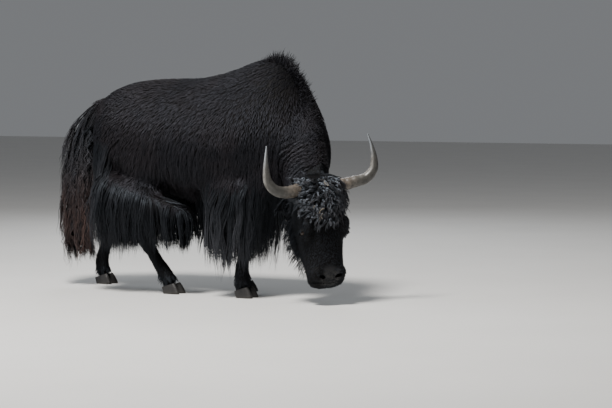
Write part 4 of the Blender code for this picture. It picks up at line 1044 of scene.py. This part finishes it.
def studio():
    """A pale floor and soft light from above, from the camera's side and from behind."""
    half = FLOOR_HALF
    corners = [(-half, -half, 0), (half, -half, 0), (half, half, 0), (-half, half, 0)]
    floor = new_object("floor", corners, [(0, 1, 2, 3)])
    look = Look("floor")
    look.put("Base Color", look.mix(look.noise(1.5, 3.0), (0.62, 0.61, 0.59), (0.68, 0.67, 0.65)))
    look.put("Roughness", 0.85)
    wear(floor, look.material)
    for light in LIGHTS:
        soft_light(*light)
    world = bpy.data.worlds.new("world")
    bpy.context.scene.world = world
    world.use_nodes = True
    background = world.node_tree.nodes["Background"]
    background.inputs["Color"].default_value = WORLD_COLOUR
    background.inputs["Strength"].default_value = WORLD_STRENGTH


class Hide:
    """The skin as arrays, with each triangle's area and region of the body."""

    def __init__(self, item):
        self.points, self.normals, self.triangles = mesh_arrays(item)
        self.tree = BVHTree.FromPolygons(self.points.tolist(), self.triangles.tolist())
        corners = self.points[self.triangles]
        self.middle = corners.mean(axis=1)
        cross = np.cross(corners[:, 1] - corners[:, 0], corners[:, 2] - corners[:, 0])
        self.area = np.linalg.norm(cross, axis=1) / 2
        self.facing = unit(cross)
        self.region = region_of(self.middle)

    def roots(self, chosen, density, count, chance):
        """Points spread over the chosen triangles in step with a density, and the skin's normals."""
        weight = np.where(chosen, self.area * density, 0.0)
        total = np.cumsum(weight)
        steps = (np.arange(count) + chance.random(count)) / count * total[-1]
        pick = np.searchsorted(total, steps).clip(0, len(total) - 1)
        a, b = chance.random((2, count))
        flip = a + b > 1
        a, b = np.where(flip, 1 - a, a), np.where(flip, 1 - b, b)
        shares = np.stack([1 - a - b, a, b], 1)[:, :, None]
        points = (self.points[self.triangles[pick]] * shares).sum(axis=1)
        normals = unit((self.normals[self.triangles[pick]] * shares).sum(axis=1))
        return points, normals


GUIDE_STEPS = 12
# How deep a hair's root lies in the skin, and the least height of hair over the floor
ROOT_DEPTH = 0.003
HAIR_FLOOR = 0.012
# What a style has unless it says otherwise
USUAL = dict(
    vary=(0.85, 1.12), stray=0.1, hang=1.5, blend=1, shortest=0.75, clump_by=0.9, own=0.4, coil=0.5,
    least=0.0022, shade=lambda points: 1.0, raised=lambda points: 0.0
)


def trace(hide, roots, normals, style, chance):
    """Guide hairs: each turns into the lie of the coat, hangs, and stays outside the skin."""
    count = len(roots)
    length = style["length"](roots, normals) * chance.uniform(*style["vary"], count)
    lift = style["lift"] * chance.uniform(0.5, 1.5, count)
    layer = chance.uniform(*style["layer"], count)
    stray = chance.normal(0, style["stray"], (count, 3))
    flow = unit(style["lie"](roots, normals) + stray)
    way = unit(normals * lift[:, None] + flow * (1 - lift[:, None]))
    path = np.empty((count, GUIDE_STEPS, 3))
    path[:, 0] = roots
    bend = style["bend"]
    for k in range(1, GUIDE_STEPS):
        here = path[:, k - 1] + way * (length / (GUIDE_STEPS - 1))[:, None]
        _, out, far = nearest(hide.tree, here)
        clear = layer * min(1.0, k / (GUIDE_STEPS * 0.45))
        here = here + out * np.clip(clear - far, 0, None)[:, None]
        path[:, k] = here
        went = unit(here - path[:, k - 1])
        free = level(far, 0.03, 0.09)[:, None]
        flow = unit(style["lie"](here, out) + stray)
        goal = unit(flow * (1 - style["weight"]) + DOWN * (style["weight"] + free * style["hang"]))
        way = unit(went * (1 - bend) + goal * bend)
    for _ in range(2):
        path[:, 1:-1] = path[:, 1:-1] * 0.5 + (path[:, :-2] + path[:, 2:]) * 0.25
    return path, length


def follow(hide, roots, normals, path, length, guide_roots, style, chance):
    """Strands drawn to the guides next to them in locks, each with its own small wave."""
    count = len(roots)
    steps = style["points"]
    blend = style["blend"]
    tree = KDTree(len(guide_roots))
    for i, point in enumerate(guide_roots):
        tree.insert(point, i)
    tree.balance()
    found = [tree.find_n(point, blend) for point in roots]
    owners = np.array([[f[1] for f in row] for row in found])
    gaps = np.array([[f[2] for f in row] for row in found]) + 0.002
    shares = (1 / gaps) / (1 / gaps).sum(axis=1, keepdims=True)
    owner = owners[:, 0]

    t = np.linspace(0, 1, steps)
    shorten = chance.uniform(style["shortest"], 1.0, count)
    place_on = t[None, :] * shorten[:, None] * (GUIDE_STEPS - 1)
    low = np.clip(place_on.astype(int), 0, GUIDE_STEPS - 2)
    part = (place_on - low)[:, :, None]
    run = np.zeros((count, steps, 3))
    rows = np.arange(count)[:, None]
    for j in range(blend):
        guide = path[owners[:, j]] - path[owners[:, j], :1]
        run += (guide[rows, low] * (1 - part) + guide[rows, low + 1] * part) * shares[:, j, None, None]
    draw = style["clump"] * level(t, -0.1, style["clump_by"])
    offset = roots - guide_roots[owner]
    strands = roots[:, None, :] + run - offset[:, None, :] * draw[None, :, None]

    ahead = unit(run[:, -1])
    side = unit(np.cross(ahead, normals))
    third = unit(np.cross(side, ahead))
    turns = length / style["wave"]
    phase = chance.random(len(path)) * 2 * math.pi
    size = style["swing"] * chance.uniform(0.4, 1.5, len(path))
    own = chance.normal(0, style["own"], count)
    angle = 2 * math.pi * turns[owner, None] * t[None, :] + (phase[owner] + own)[:, None]
    grow_in = level(t, 0.0, 0.4)[None, :]
    swing = size[owner, None] * np.sin(angle) * grow_in
    lift = size[owner, None] * style["coil"] * np.cos(angle) * grow_in
    strands = strands + side[:, None, :] * swing[:, :, None] + third[:, None, :] * lift[:, :, None]
    fuzz = chance.normal(0, 1, (count, 3)) * style["fuzz"]
    strands = strands + fuzz[:, None, :] * (t ** 1.5)[None, :, None]

    depth = chance.uniform(0.6, 1.8, count) * style["least"]
    for k in range(steps):
        near, out, far = nearest(hide.tree, strands[:, k])
        if k == 0:
            strands[:, k] = near - out * ROOT_DEPTH
        else:
            rise = np.clip(depth * min(k, 2) * 0.7 - far, 0, None) + style["raised"](near)
            strands[:, k] += out * rise[:, None]
    strands[:, :, 2] = np.maximum(strands[:, :, 2], HAIR_FLOOR)
    return strands, owner


# How far the strands' shading normals are turned from the strand's own sides to the lie of the coat
SOFTNESS = 0.5
# A strand's width along it, its thickness in shares of its width, its three sides, its patch of the unwrap
TAPER = ((0.0, 0.18, 0.5, 0.8, 1.0), (0.75, 1.0, 0.92, 0.6, 0.0))
FLATNESS = 0.42
STRAND_SIDES = ((2, 0), (1, 2), (0, 1))
PATCH = 0.003


def write_value(mesh, name, values):
    """Store a value for each point of a mesh."""
    mesh.attributes.new(name, "FLOAT", "POINT").data.foreach_set("value", values.astype(np.float32))


def strand_mesh(name, strands, out, width, chart, tone):
    """One mesh of thin tapered strands, each three-sided with a ridge outside."""
    count, steps, _ = strands.shape
    along = unit(np.gradient(strands, axis=1))
    ridge = unit(out[:, None, :] - along * np.einsum("ijk,ik->ij", along, out)[:, :, None])
    side = np.cross(along, ridge)
    t = np.linspace(0, 1, steps)
    taper = np.interp(t, *TAPER)
    half = (width[:, None] * taper[None, :] / 2)[:, :, None]
    low = ridge * half * FLATNESS * 0.5
    left = strands + side * half - low
    right = strands - side * half - low
    top = strands + ridge * half * FLATNESS * 1.6
    body = np.stack([left, right, top], 2)[:, :-1].reshape(count, (steps - 1) * 3, 3)
    points = np.concatenate([body, strands[:, -1:, :]], 1)
    lean = side * (1 - SOFTNESS)
    shade = unit(np.stack([ridge * SOFTNESS + lean, ridge * SOFTNESS - lean, ridge], 2))
    shade = np.concatenate([shade[:, :-1].reshape(count, (steps - 1) * 3, 3), ridge[:, -1:, :]], 1)
    each = (steps - 1) * 3 + 1
    faces = [(0, 2, 1)]
    for k in range(0, (steps - 2) * 3, 3):
        for a, b in STRAND_SIDES:
            faces += [(k + a, k + b, k + 3 + b), (k + a, k + 3 + b, k + 3 + a)]
    for a, b in STRAND_SIDES:
        faces.append(((steps - 2) * 3 + a, (steps - 2) * 3 + b, each - 1))
    faces = np.array(faces)
    total = count * len(faces)
    corner = (faces[None] + (np.arange(count) * each)[:, None, None]).reshape(-1)
    mesh = bpy.data.meshes.new(name)
    mesh.vertices.add(count * each)
    mesh.vertices.foreach_set("co", (points.reshape(-1, 3) + np.array(SHIFT)).ravel())
    mesh.loops.add(total * 3)
    mesh.loops.foreach_set("vertex_index", corner.astype(np.int32))
    mesh.polygons.add(total)
    mesh.polygons.foreach_set("loop_start", np.arange(0, total * 3, 3, dtype=np.int32))
    mesh.polygons.foreach_set("use_smooth", np.ones(total, bool))

    lengthwise = np.concatenate([np.repeat(t[:-1], 3), [1.0]])
    crosswise = np.concatenate([np.tile([-0.5, 0.5, 0.0], steps - 1), [0.0]])
    write_value(mesh, "along", np.tile(lengthwise, count))
    write_value(mesh, "tone", np.repeat(tone, each))
    patch = np.stack([crosswise, lengthwise - 0.5], 1) * PATCH
    uv = (chart[:, None, :] + patch[None, :, :]).reshape(-1, 2)[corner]
    mesh.uv_layers.new(name="OFBake").data.foreach_set("uv", uv.astype(np.float32).ravel())
    mesh.update()
    mesh.normals_split_custom_set_from_vertices(shade.reshape(-1, 3))
    return linked(name, mesh)


def chart_of(kind, points):
    """The roots' places on an unwrap of a region's tube: round it and along it."""
    x, y, z = points.T
    if kind == "trunk":
        along, across, off = x, y, z - 0.85
    elif kind == "neck":
        along = (points - NECK_ROOT_CUT[0]) @ cut_normal(-25, 15)
        middle = np.array([0.3, -0.13, 0.75])
        across, off = (points - middle) @ heading_vector(65), z - middle[2]
    elif kind == "head":
        across, along, front = head_places(points).T
        off = front + 0.11
    elif kind == "tail":
        along, across, off = z, y, x + 1.32
    else:
        along, across, off = z, y - y.mean(), x - x.mean()
    chart = np.stack([np.arctan2(across, off), along], 1)
    low, high = chart.min(axis=0), chart.max(axis=0)
    return 0.01 + (chart - low) / (high - low + 1e-9) * 0.98


def grow(hide, name, chosen, count, style, kind, material, density=1.0):
    """Grow one piece of the coat: guides, the strands that follow them, and the mesh."""
    style = dict(USUAL, **style)
    chance = np.random.default_rng(SEED + sum(map(ord, name)))
    guide_roots, guide_normals = hide.roots(chosen, density, max(4, count // style["each"]), chance)
    roots, normals = hide.roots(chosen, density, count, chance)
    path, length = trace(hide, guide_roots, guide_normals, style, chance)
    strands, owner = follow(hide, roots, normals, path, length, guide_roots, style, chance)
    width = style["width"] * chance.uniform(0.7, 1.25, count)
    tone = chance.random(count) * 0.4 + chance.random(len(path))[owner] * 0.6
    # The style's shade scales the tone: painted light and shade on body, neck and skirt, bleached places on
    # the forelock
    tone = tone * style["shade"](roots)
    item = strand_mesh(name, strands, normals, width, chart_of(kind, strands[:, 0]), tone)
    wear(item, material)
    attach(item, "root")


def hem(x):
    """The height of the skirt's hem."""
    table = np.array(sorted(HEM))
    return np.interp(x, table[:, 0], table[:, 1])


def along_skin(flow, normals):
    """Directions laid nearly flat against the skin."""
    return unit(flow - normals * np.einsum("ij,ij->i", flow, normals)[:, None] * 0.95)


def constant(value):
    """A length that is the same everywhere."""
    return lambda points, normals: np.full(len(points), value)


def down_skin(normals, ahead, left=0.0):
    """Directions down along the skin, with a share forwards and a share to the left."""
    flow = np.tile([0.0, 0.0, -1.0], (len(normals), 1))
    flow[:, 0] = ahead
    flow[:, 1] = left
    return along_skin(flow, normals)


def lie_of_flank(points, normals):
    """The lie of the flank's and shoulder's locks: down."""
    return down_skin(normals, -0.14)


def standing(ahead, share):
    """A lie down that stands off the skin by a share."""
    return lambda points, normals: unit(np.tile([ahead, 0.0, -1.0], (len(points), 1)) + normals * share)


def lie_of_body(points, normals):
    """The lie on the trunk: back over the spine, and down and a little back on the flank."""
    ahead = -0.5 - 0.8 * level(points[:, 2], 1.05, 1.3) + 0.35 * level(points[:, 0], -0.35, 0.0)
    return down_skin(normals, ahead, np.sign(points[:, 1]) * 0.3 * level(normals[:, 2], 0.2, 0.7))


def lie_of_skirt(points, normals):
    """The lie of the long hair: down, a little back, and aslant over the elbow."""
    elbow = np.exp(-((points[:, 0] + 0.2) / 0.13) ** 2) * level(points[:, 2], 0.4, 0.55)
    return down_skin(normals, -0.07 - 0.34 * elbow)


def lie_of_rear(points, normals):
    """The lie behind the thighs: down, and further down more and more back."""
    return down_skin(normals, -0.2 - 0.45 * level(-points[:, 2], -0.7, -0.45))


def lie_of_neck(points, normals):
    """The lie of the coat on the neck: down across it, and along its wrinkles."""
    turn = np.cross(normals, unit(wrinkle_reach(points)))
    turn *= np.where(turn @ np.array([-0.3, 0.0, -1.0]) > 0, 1.0, -1.0)[:, None]
    share = 0.75 * neck_ripple(points)[1][:, None]
    return along_skin(np.array([-0.1, -0.2, -1.0]) * (1 - share) + turn * share, normals)


def lie_of_mane(points, normals):
    """The lie of the crest: upright at the hump, and more and more forwards below it."""
    low = level(-points[:, 2], -1.3, -0.9)[:, None]
    up = np.array([0.1, 0.0, 0.65])
    ahead = np.array([0.62, -0.22, -0.25])
    return unit(up * (1 - low) + ahead * low + normals * 0.5)


def lie_of_head(points, normals):
    """The lie on the head: down the face and outwards from its middle."""
    side = head_places(points)[:, 0]
    away = np.sign(side) * np.clip(np.abs(side) * 8, 0, 0.8)
    flow = np.stack([away, np.ones_like(side), np.zeros_like(side)], 1)
    return along_skin(flow @ HEAD_TURN.T, normals)


def lie_of_forelock(points, normals):
    """The lie of the forehead's curls: outwards from the whorl, with a turn."""
    side, down = head_places(points).T[:2] - np.array([WHORL]).T
    down = np.maximum(down, -0.025)
    across = side * math.cos(WHORL_TURN) - down * math.sin(WHORL_TURN)
    along = side * math.sin(WHORL_TURN) + down * math.cos(WHORL_TURN) + 0.035
    flow = np.stack([across, along, np.full_like(side, 0.01)], 1)
    return along_skin(unit(flow) @ HEAD_TURN.T, normals)


def lie_of_tail(points, normals):
    """The lie of the tail's hair: along its axis."""
    path = spline(TAIL, 40)
    gap = np.linalg.norm(points[:, None, :] - path[None, :, :3], axis=2)
    near = gap.argmin(axis=1).clip(0, 38)
    fan = np.clip(normals[:, :1], 0, 1) * level(-points[:, 2:], -1.0, -0.5) * np.array([0.009, 0.0, 0.0])
    return unit(path[near + 1, :3] - path[near, :3] + np.array([0.002, 0.0, -0.006]) + fan)


def sleek_length(points, normals):
    """The upper coat's length: short on the back, longer down the flank."""
    return 0.036 + 0.032 * level(-points[:, 2], -1.05, -0.75)


def flank_length(points, normals):
    """The length of the locks on flank and shoulder, which end before the fold."""
    room = points[:, 2] - fold_height(points[:, 0], points[:, 1]) + 0.01
    return np.clip(np.where(points[:, 0] < -0.37, room, 0.16), 0.055, 0.15)


def face_length(points, normals):
    """The face's length: shortest on the muzzle, longer on cheeks and throat."""
    _, down, front = head_places(points).T
    return 0.011 + 0.009 * level(-down, -0.5, -0.36) + 0.014 * level(-front, 0.12, 0.22)


def skirt_length(points, normals):
    """Long enough to reach the hem."""
    return np.maximum(points[:, 2] - hem(points[:, 0] - 0.02), 0.06)


def rear_length(points, normals):
    """Long enough to reach the hem behind the thighs, but no longer than a lock grows."""
    return np.clip(points[:, 2] - 0.255, 0.06, 0.6)


def mane_length(points, normals):
    """The crest's length: longest on the hump, shorter towards the poll."""
    x, _, z = points.T
    tuft = np.exp(-((x - 0.06) / 0.05) ** 2) * level(z, 1.2, 1.28)
    return 0.016 + 0.026 * level(z, 0.95, 1.2) * level(x, -0.05, 0.05) + 0.034 * tuft


def ridge_gap(points):
    """Plan distance from the ridge over the hump and down the neck's crest, and height above it."""
    ridge = spline([(-0.16, 0.0, 1.31), (-0.06, 0.0, 1.335)] + [row[0] for row in NECK], 80)
    gap, pick = closest(points[:, :2], ridge[:, :2])
    return gap, points[:, 2] - ridge[pick, 2]


def ear_gap(points):
    """Distance from the nearer ear's midline."""
    rows = []
    for mirror in (1, -1):
        root = np.array(on_head(EAR_ROOT, mirror))
        way = np.array(on_head(EAR_TIP, mirror)) - root
        rows += [root + way * t for t in np.linspace(0.15, 1.0, 12)]
    return closest(points, rows)[0]


def neck_shade(points):
    """Darker over the whole neck, with painted shade in the wrinkles' furrows and painted light on their
    crests.
    """
    return np.clip(0.4 + 0.45 * neck_ripple(points)[0], 0, None)


def body_shade(points):
    """Painted light on the ripples' crests and painted shade in their furrows, and painted shade over the
    back.
    """
    high = level(points[:, 2], 0.98, 1.22)
    return (1.0 - 0.45 * high) * np.clip(0.82 + 0.6 * flank_ripple(points), 0, None)


def skirt_shade(points):
    """Painted light on the long hair's tips over the elbow, and painted shade on the thigh and the chest."""
    x = points[:, 0]
    return 0.18 + 1.1 * level(x, -0.42, -0.32) * (1 - level(x, -0.06, 0.04))


def forelock_shade(points):
    """Two places of the forehead are bleached: the crown, and over the right eye."""
    places = head_places(points)[:, :2]
    gaps = [np.linalg.norm(places - np.array(spot), axis=1) / 0.032 for spot in BLEACHED]
    return 0.8 + 0.4 * sum(np.exp(-gap ** 2) for gap in gaps)


def body_raised(points):
    """How far the coat stands up on its ripples."""
    return 0.0036 * (1 + flank_ripple(points))


def neck_raised(points):
    """How far the coat stands up on the neck's wrinkles."""
    return 0.0042 * sum(neck_ripple(points))


SLEEK = dict(
    points=3, length=sleek_length, lift=0.06, layer=(0.001, 0.006), lie=lie_of_body, weight=0.05, bend=0.5,
    each=7, blend=3, clump=0.28, wave=0.09, swing=0.0015, fuzz=0.0016, width=0.0036, stray=0.08, least=0.0016
)
BACK = dict(SLEEK, shade=body_shade, raised=body_raised)
FLANK = dict(
    points=6, length=flank_length, lift=0.06, layer=(0.002, 0.009), lie=lie_of_flank, weight=0.2, bend=0.5,
    each=5, clump=0.62, wave=0.11, swing=0.004, fuzz=0.002, width=0.0034, stray=0.06, shade=body_shade,
    raised=body_raised
)
SKIRT = dict(
    points=8, length=skirt_length, lift=0.14, layer=(0.003, 0.026), lie=lie_of_skirt, weight=0.5, bend=0.5,
    each=8, clump=0.45, wave=0.27, swing=0.008, fuzz=0.008, width=0.004, vary=(1.02, 1.22), shortest=0.78,
    shade=skirt_shade
)
REAR = dict(
    SKIRT, length=rear_length, lie=lie_of_rear, layer=(0.01, 0.04), wave=0.2, swing=0.014, clump=0.72,
    shade=lambda p: np.full(len(p), 0.9)
)
NECK_COAT = dict(
    SLEEK, lie=lie_of_neck, length=constant(0.03), points=4, clump=0.25, layer=(0.001, 0.005),
    shade=neck_shade, raised=neck_raised, width=0.0036
)
MANE = dict(
    points=5, length=mane_length, lift=0.6, layer=(0.0, 0.006), each=5, lie=lie_of_mane, weight=0.0,
    bend=0.35, hang=0.0, clump=0.3, wave=0.06, swing=0.003, fuzz=0.008, width=0.0026, stray=0.34,
    shortest=0.35
)
FACE = dict(SLEEK, lie=lie_of_head, length=face_length, layer=(0.0008, 0.003), width=0.0026, fuzz=0.001)
FORELOCK = dict(
    points=8, length=constant(0.074), lift=0.35, layer=(0.004, 0.022), each=7, lie=lie_of_forelock,
    weight=0.16, bend=0.45, clump=0.8, clump_by=0.6, wave=0.05, swing=0.0065, coil=0.55, own=0.3, fuzz=0.003,
    width=0.0034, stray=0.3, vary=(0.7, 1.25), shade=forelock_shade
)
JAW = dict(
    points=6, length=constant(0.078), lift=0.45, layer=(0.0, 0.022), each=7, lie=standing(-0.2, 0.55),
    weight=0.25, bend=0.4, clump=0.6, wave=0.12, swing=0.005, fuzz=0.008, width=0.0034, stray=0.18
)
EAR = dict(JAW, length=constant(0.042), lift=0.3, layer=(0.0, 0.01))
LEG = dict(
    SLEEK, lie=lie_of_skirt, length=lambda p, n: 0.024 + 0.05 * level(p[:, 2], 0.22, 0.4),
    layer=(0.001, 0.004), width=0.003, fuzz=0.001
)
FETLOCK = dict(
    points=4, length=constant(0.036), lift=0.3, layer=(0.001, 0.008), each=7, lie=standing(0.1, 0.45),
    weight=0.3, bend=0.5, clump=0.5, wave=0.08, swing=0.002, fuzz=0.003, width=0.0034, stray=0.15
)
BRUSH = dict(
    SKIRT, points=11, lie=lie_of_tail, length=lambda p, n: np.clip(p[:, 2] - 0.2, 0.06, 0.4),
    layer=(0.01, 0.06), clump=0.86, wave=0.13, swing=0.014, width=0.0052, each=9, shade=USUAL["shade"]
)


def add_coat(hide):
    """Every piece of the coat."""
    coat = coat_material(
        "coat", (0.0019, 0.0017, 0.002), (0.0138, 0.0115, 0.0132), (0.0105, 0.0062, 0.0054), 0.45,
        sheen=(0.8, 0.84, 1.0)
    )
    face_coat = coat_material(
        "face coat", (0.0018, 0.0017, 0.002), (0.0125, 0.0118, 0.0132), (0.006, 0.0045, 0.0044), 0.5
    )
    # The long hair's pale bluish tips are partly the hair's own paler tips, partly painted sheen; skirt_shade
    # sets where they show
    long_coat = coat_material(
        "long hair", (0.0021, 0.0021, 0.0026), (0.044, 0.044, 0.05), (0.009, 0.0075, 0.0074), 0.4, 0.5, 0.06,
        sheen=(0.74, 0.85, 1.0)
    )
    torso = hide.region == 0
    x, y, z = hide.middle.T
    fold = fold_height(x, y)
    edge = np.where(x > -0.35, 0.7, fold - 0.015)
    edge = np.where((x > -0.45) & (x <= -0.35), 0.62, edge)
    edge = np.where(x < -1.02, 0.92, edge)
    off_middle = np.abs(y) > 0.1
    long_hair = torso & (z < edge) & (off_middle | (x > 0.02))
    locks = torso & (z >= edge - 0.02) & (z < 1.02) & (x > -0.8)
    fade = (1 - 0.9 * level(z, 0.78, 1.0)) * level(x, -0.8, -0.62)
    sleek = torso & ((z >= np.where(x < -0.45, edge - 0.09, edge)) | ~off_middle)
    bare = np.where(locks, 1 - 0.55 * fade, 1.0)
    recess = 1 + 2.6 * np.exp(-((x + 0.39) / 0.06) ** 2) * (z < 0.64)
    recess = recess + 0.9 * np.exp(-((z - fold) / 0.03) ** 2) * (x < -0.4)
    for word, side in (("right", y < 0), ("left", y >= 0)):
        grow(hide, "coat_sleek_" + word, sleek & side, 13500, BACK, "trunk", coat, bare)
        grow(hide, "coat_flank_" + word, locks & side, 2800, FLANK, "trunk", coat, fade)
        grow(hide, "skirt_" + word, long_hair & side, 3600, SKIRT, "trunk", long_coat, recess)
        behind = torso & side & (x < -0.95) & (z > 0.42) & (z < 0.93) & (hide.facing[:, 0] < -0.25)
        grow(hide, "rear_" + word, behind, 1000, REAR, "trunk", long_coat)
    grow(hide, "coat_neck", hide.region == 1, 9500, NECK_COAT, "neck", coat)
    gap, above = ridge_gap(hide.middle)
    ridge = (hide.region < 2) & (gap < 0.06) & (above > -0.14) & (x > -0.06) & (z > 0.72)
    grow(hide, "mane", ridge, 2200, MANE, "neck", coat)

    head = hide.region == 2
    side, down, front = head_places(hide.middle).T
    ears = head & (ear_gap(hide.middle) < 0.062) & (np.abs(side) > 0.112)
    brow = head & (down < 0.25) & (down > 0.006) & (front > -0.155) & ~ears
    brow &= np.abs(side) < 0.155 - 0.9 * np.clip(down - 0.13, 0, None)
    jaw = head & (front < -0.15) & (down > 0.12) & (down < 0.54) & ~ears
    grow(hide, "coat_head", head, 14000, FACE, "head", face_coat)
    curls = coat_material(
        "curls", (0.0026, 0.0025, 0.0028), (0.07, 0.067, 0.072), (0.014, 0.009, 0.007), 0.4, 0.36, 0.1,
        (0.33, 0.28, 0.2), 0.5
    )
    grow(hide, "forelock", brow, 2100, FORELOCK, "head", curls)
    grow(hide, "jaw_fringe", jaw, 800, JAW, "head", face_coat)
    grow(hide, "ear_fringe", ears, 450, EAR, "head", face_coat)

    leg = hide.region == 3
    grow(hide, "coat_legs", leg & (z > 0.05), 8000, LEG, "leg", face_coat)
    grow(hide, "fetlocks", leg & (z > 0.045) & (z < 0.115), 900, FETLOCK, "leg", face_coat)
    tail_coat = coat_material(
        "tail hair", (0.0022, 0.002, 0.0023), (0.058, 0.055, 0.06), (0.01, 0.0068, 0.006), 0.6, 0.5, 0.12,
        gloss=0.35, low_tip=(0.08, 0.046, 0.036)
    )
    grow(hide, "tail_brush", hide.region == 4, 2200, BRUSH, "tail", tail_coat)


def build():
    """The whole scene."""
    studio()
    camera()
    skin = make_skin()
    add_coat(Hide(skin))
    place(skin)
    wear(skin, skin_material())
    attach(skin, "root")
    legs = ["leg_" + name for name in LEGS]
    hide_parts("torso", "neck", "head", "tail", "ear_right", "ear_left", *legs)

    hoof = hoof_material()
    eye = eye_material()
    for word, mirror in (("right", -1), ("left", 1)):
        one = horn("fine_horn_" + word, mirror)
        place(one)
        wear(one, horn_material(mirror))
        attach(one, "root")
        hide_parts("horn_" + word)
        one = eyeball("fine_eye_" + word, mirror)
        wear(one, eye)
        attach(one, "root")
        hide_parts("eye_" + word)
    for name, joints in LEGS.items():
        foot = np.array([joints[-1][0] + FOOT_AHEAD, joints[-1][1], 0.0])
        for side, word in ((-1, "right"), (1, "left")):
            one = claw("fine_hoof_" + name + "_" + word, foot, side)
            place(one)
            wear(one, hoof)
            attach(one, "root")
            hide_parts("hoof_" + name + "_" + word)


build()
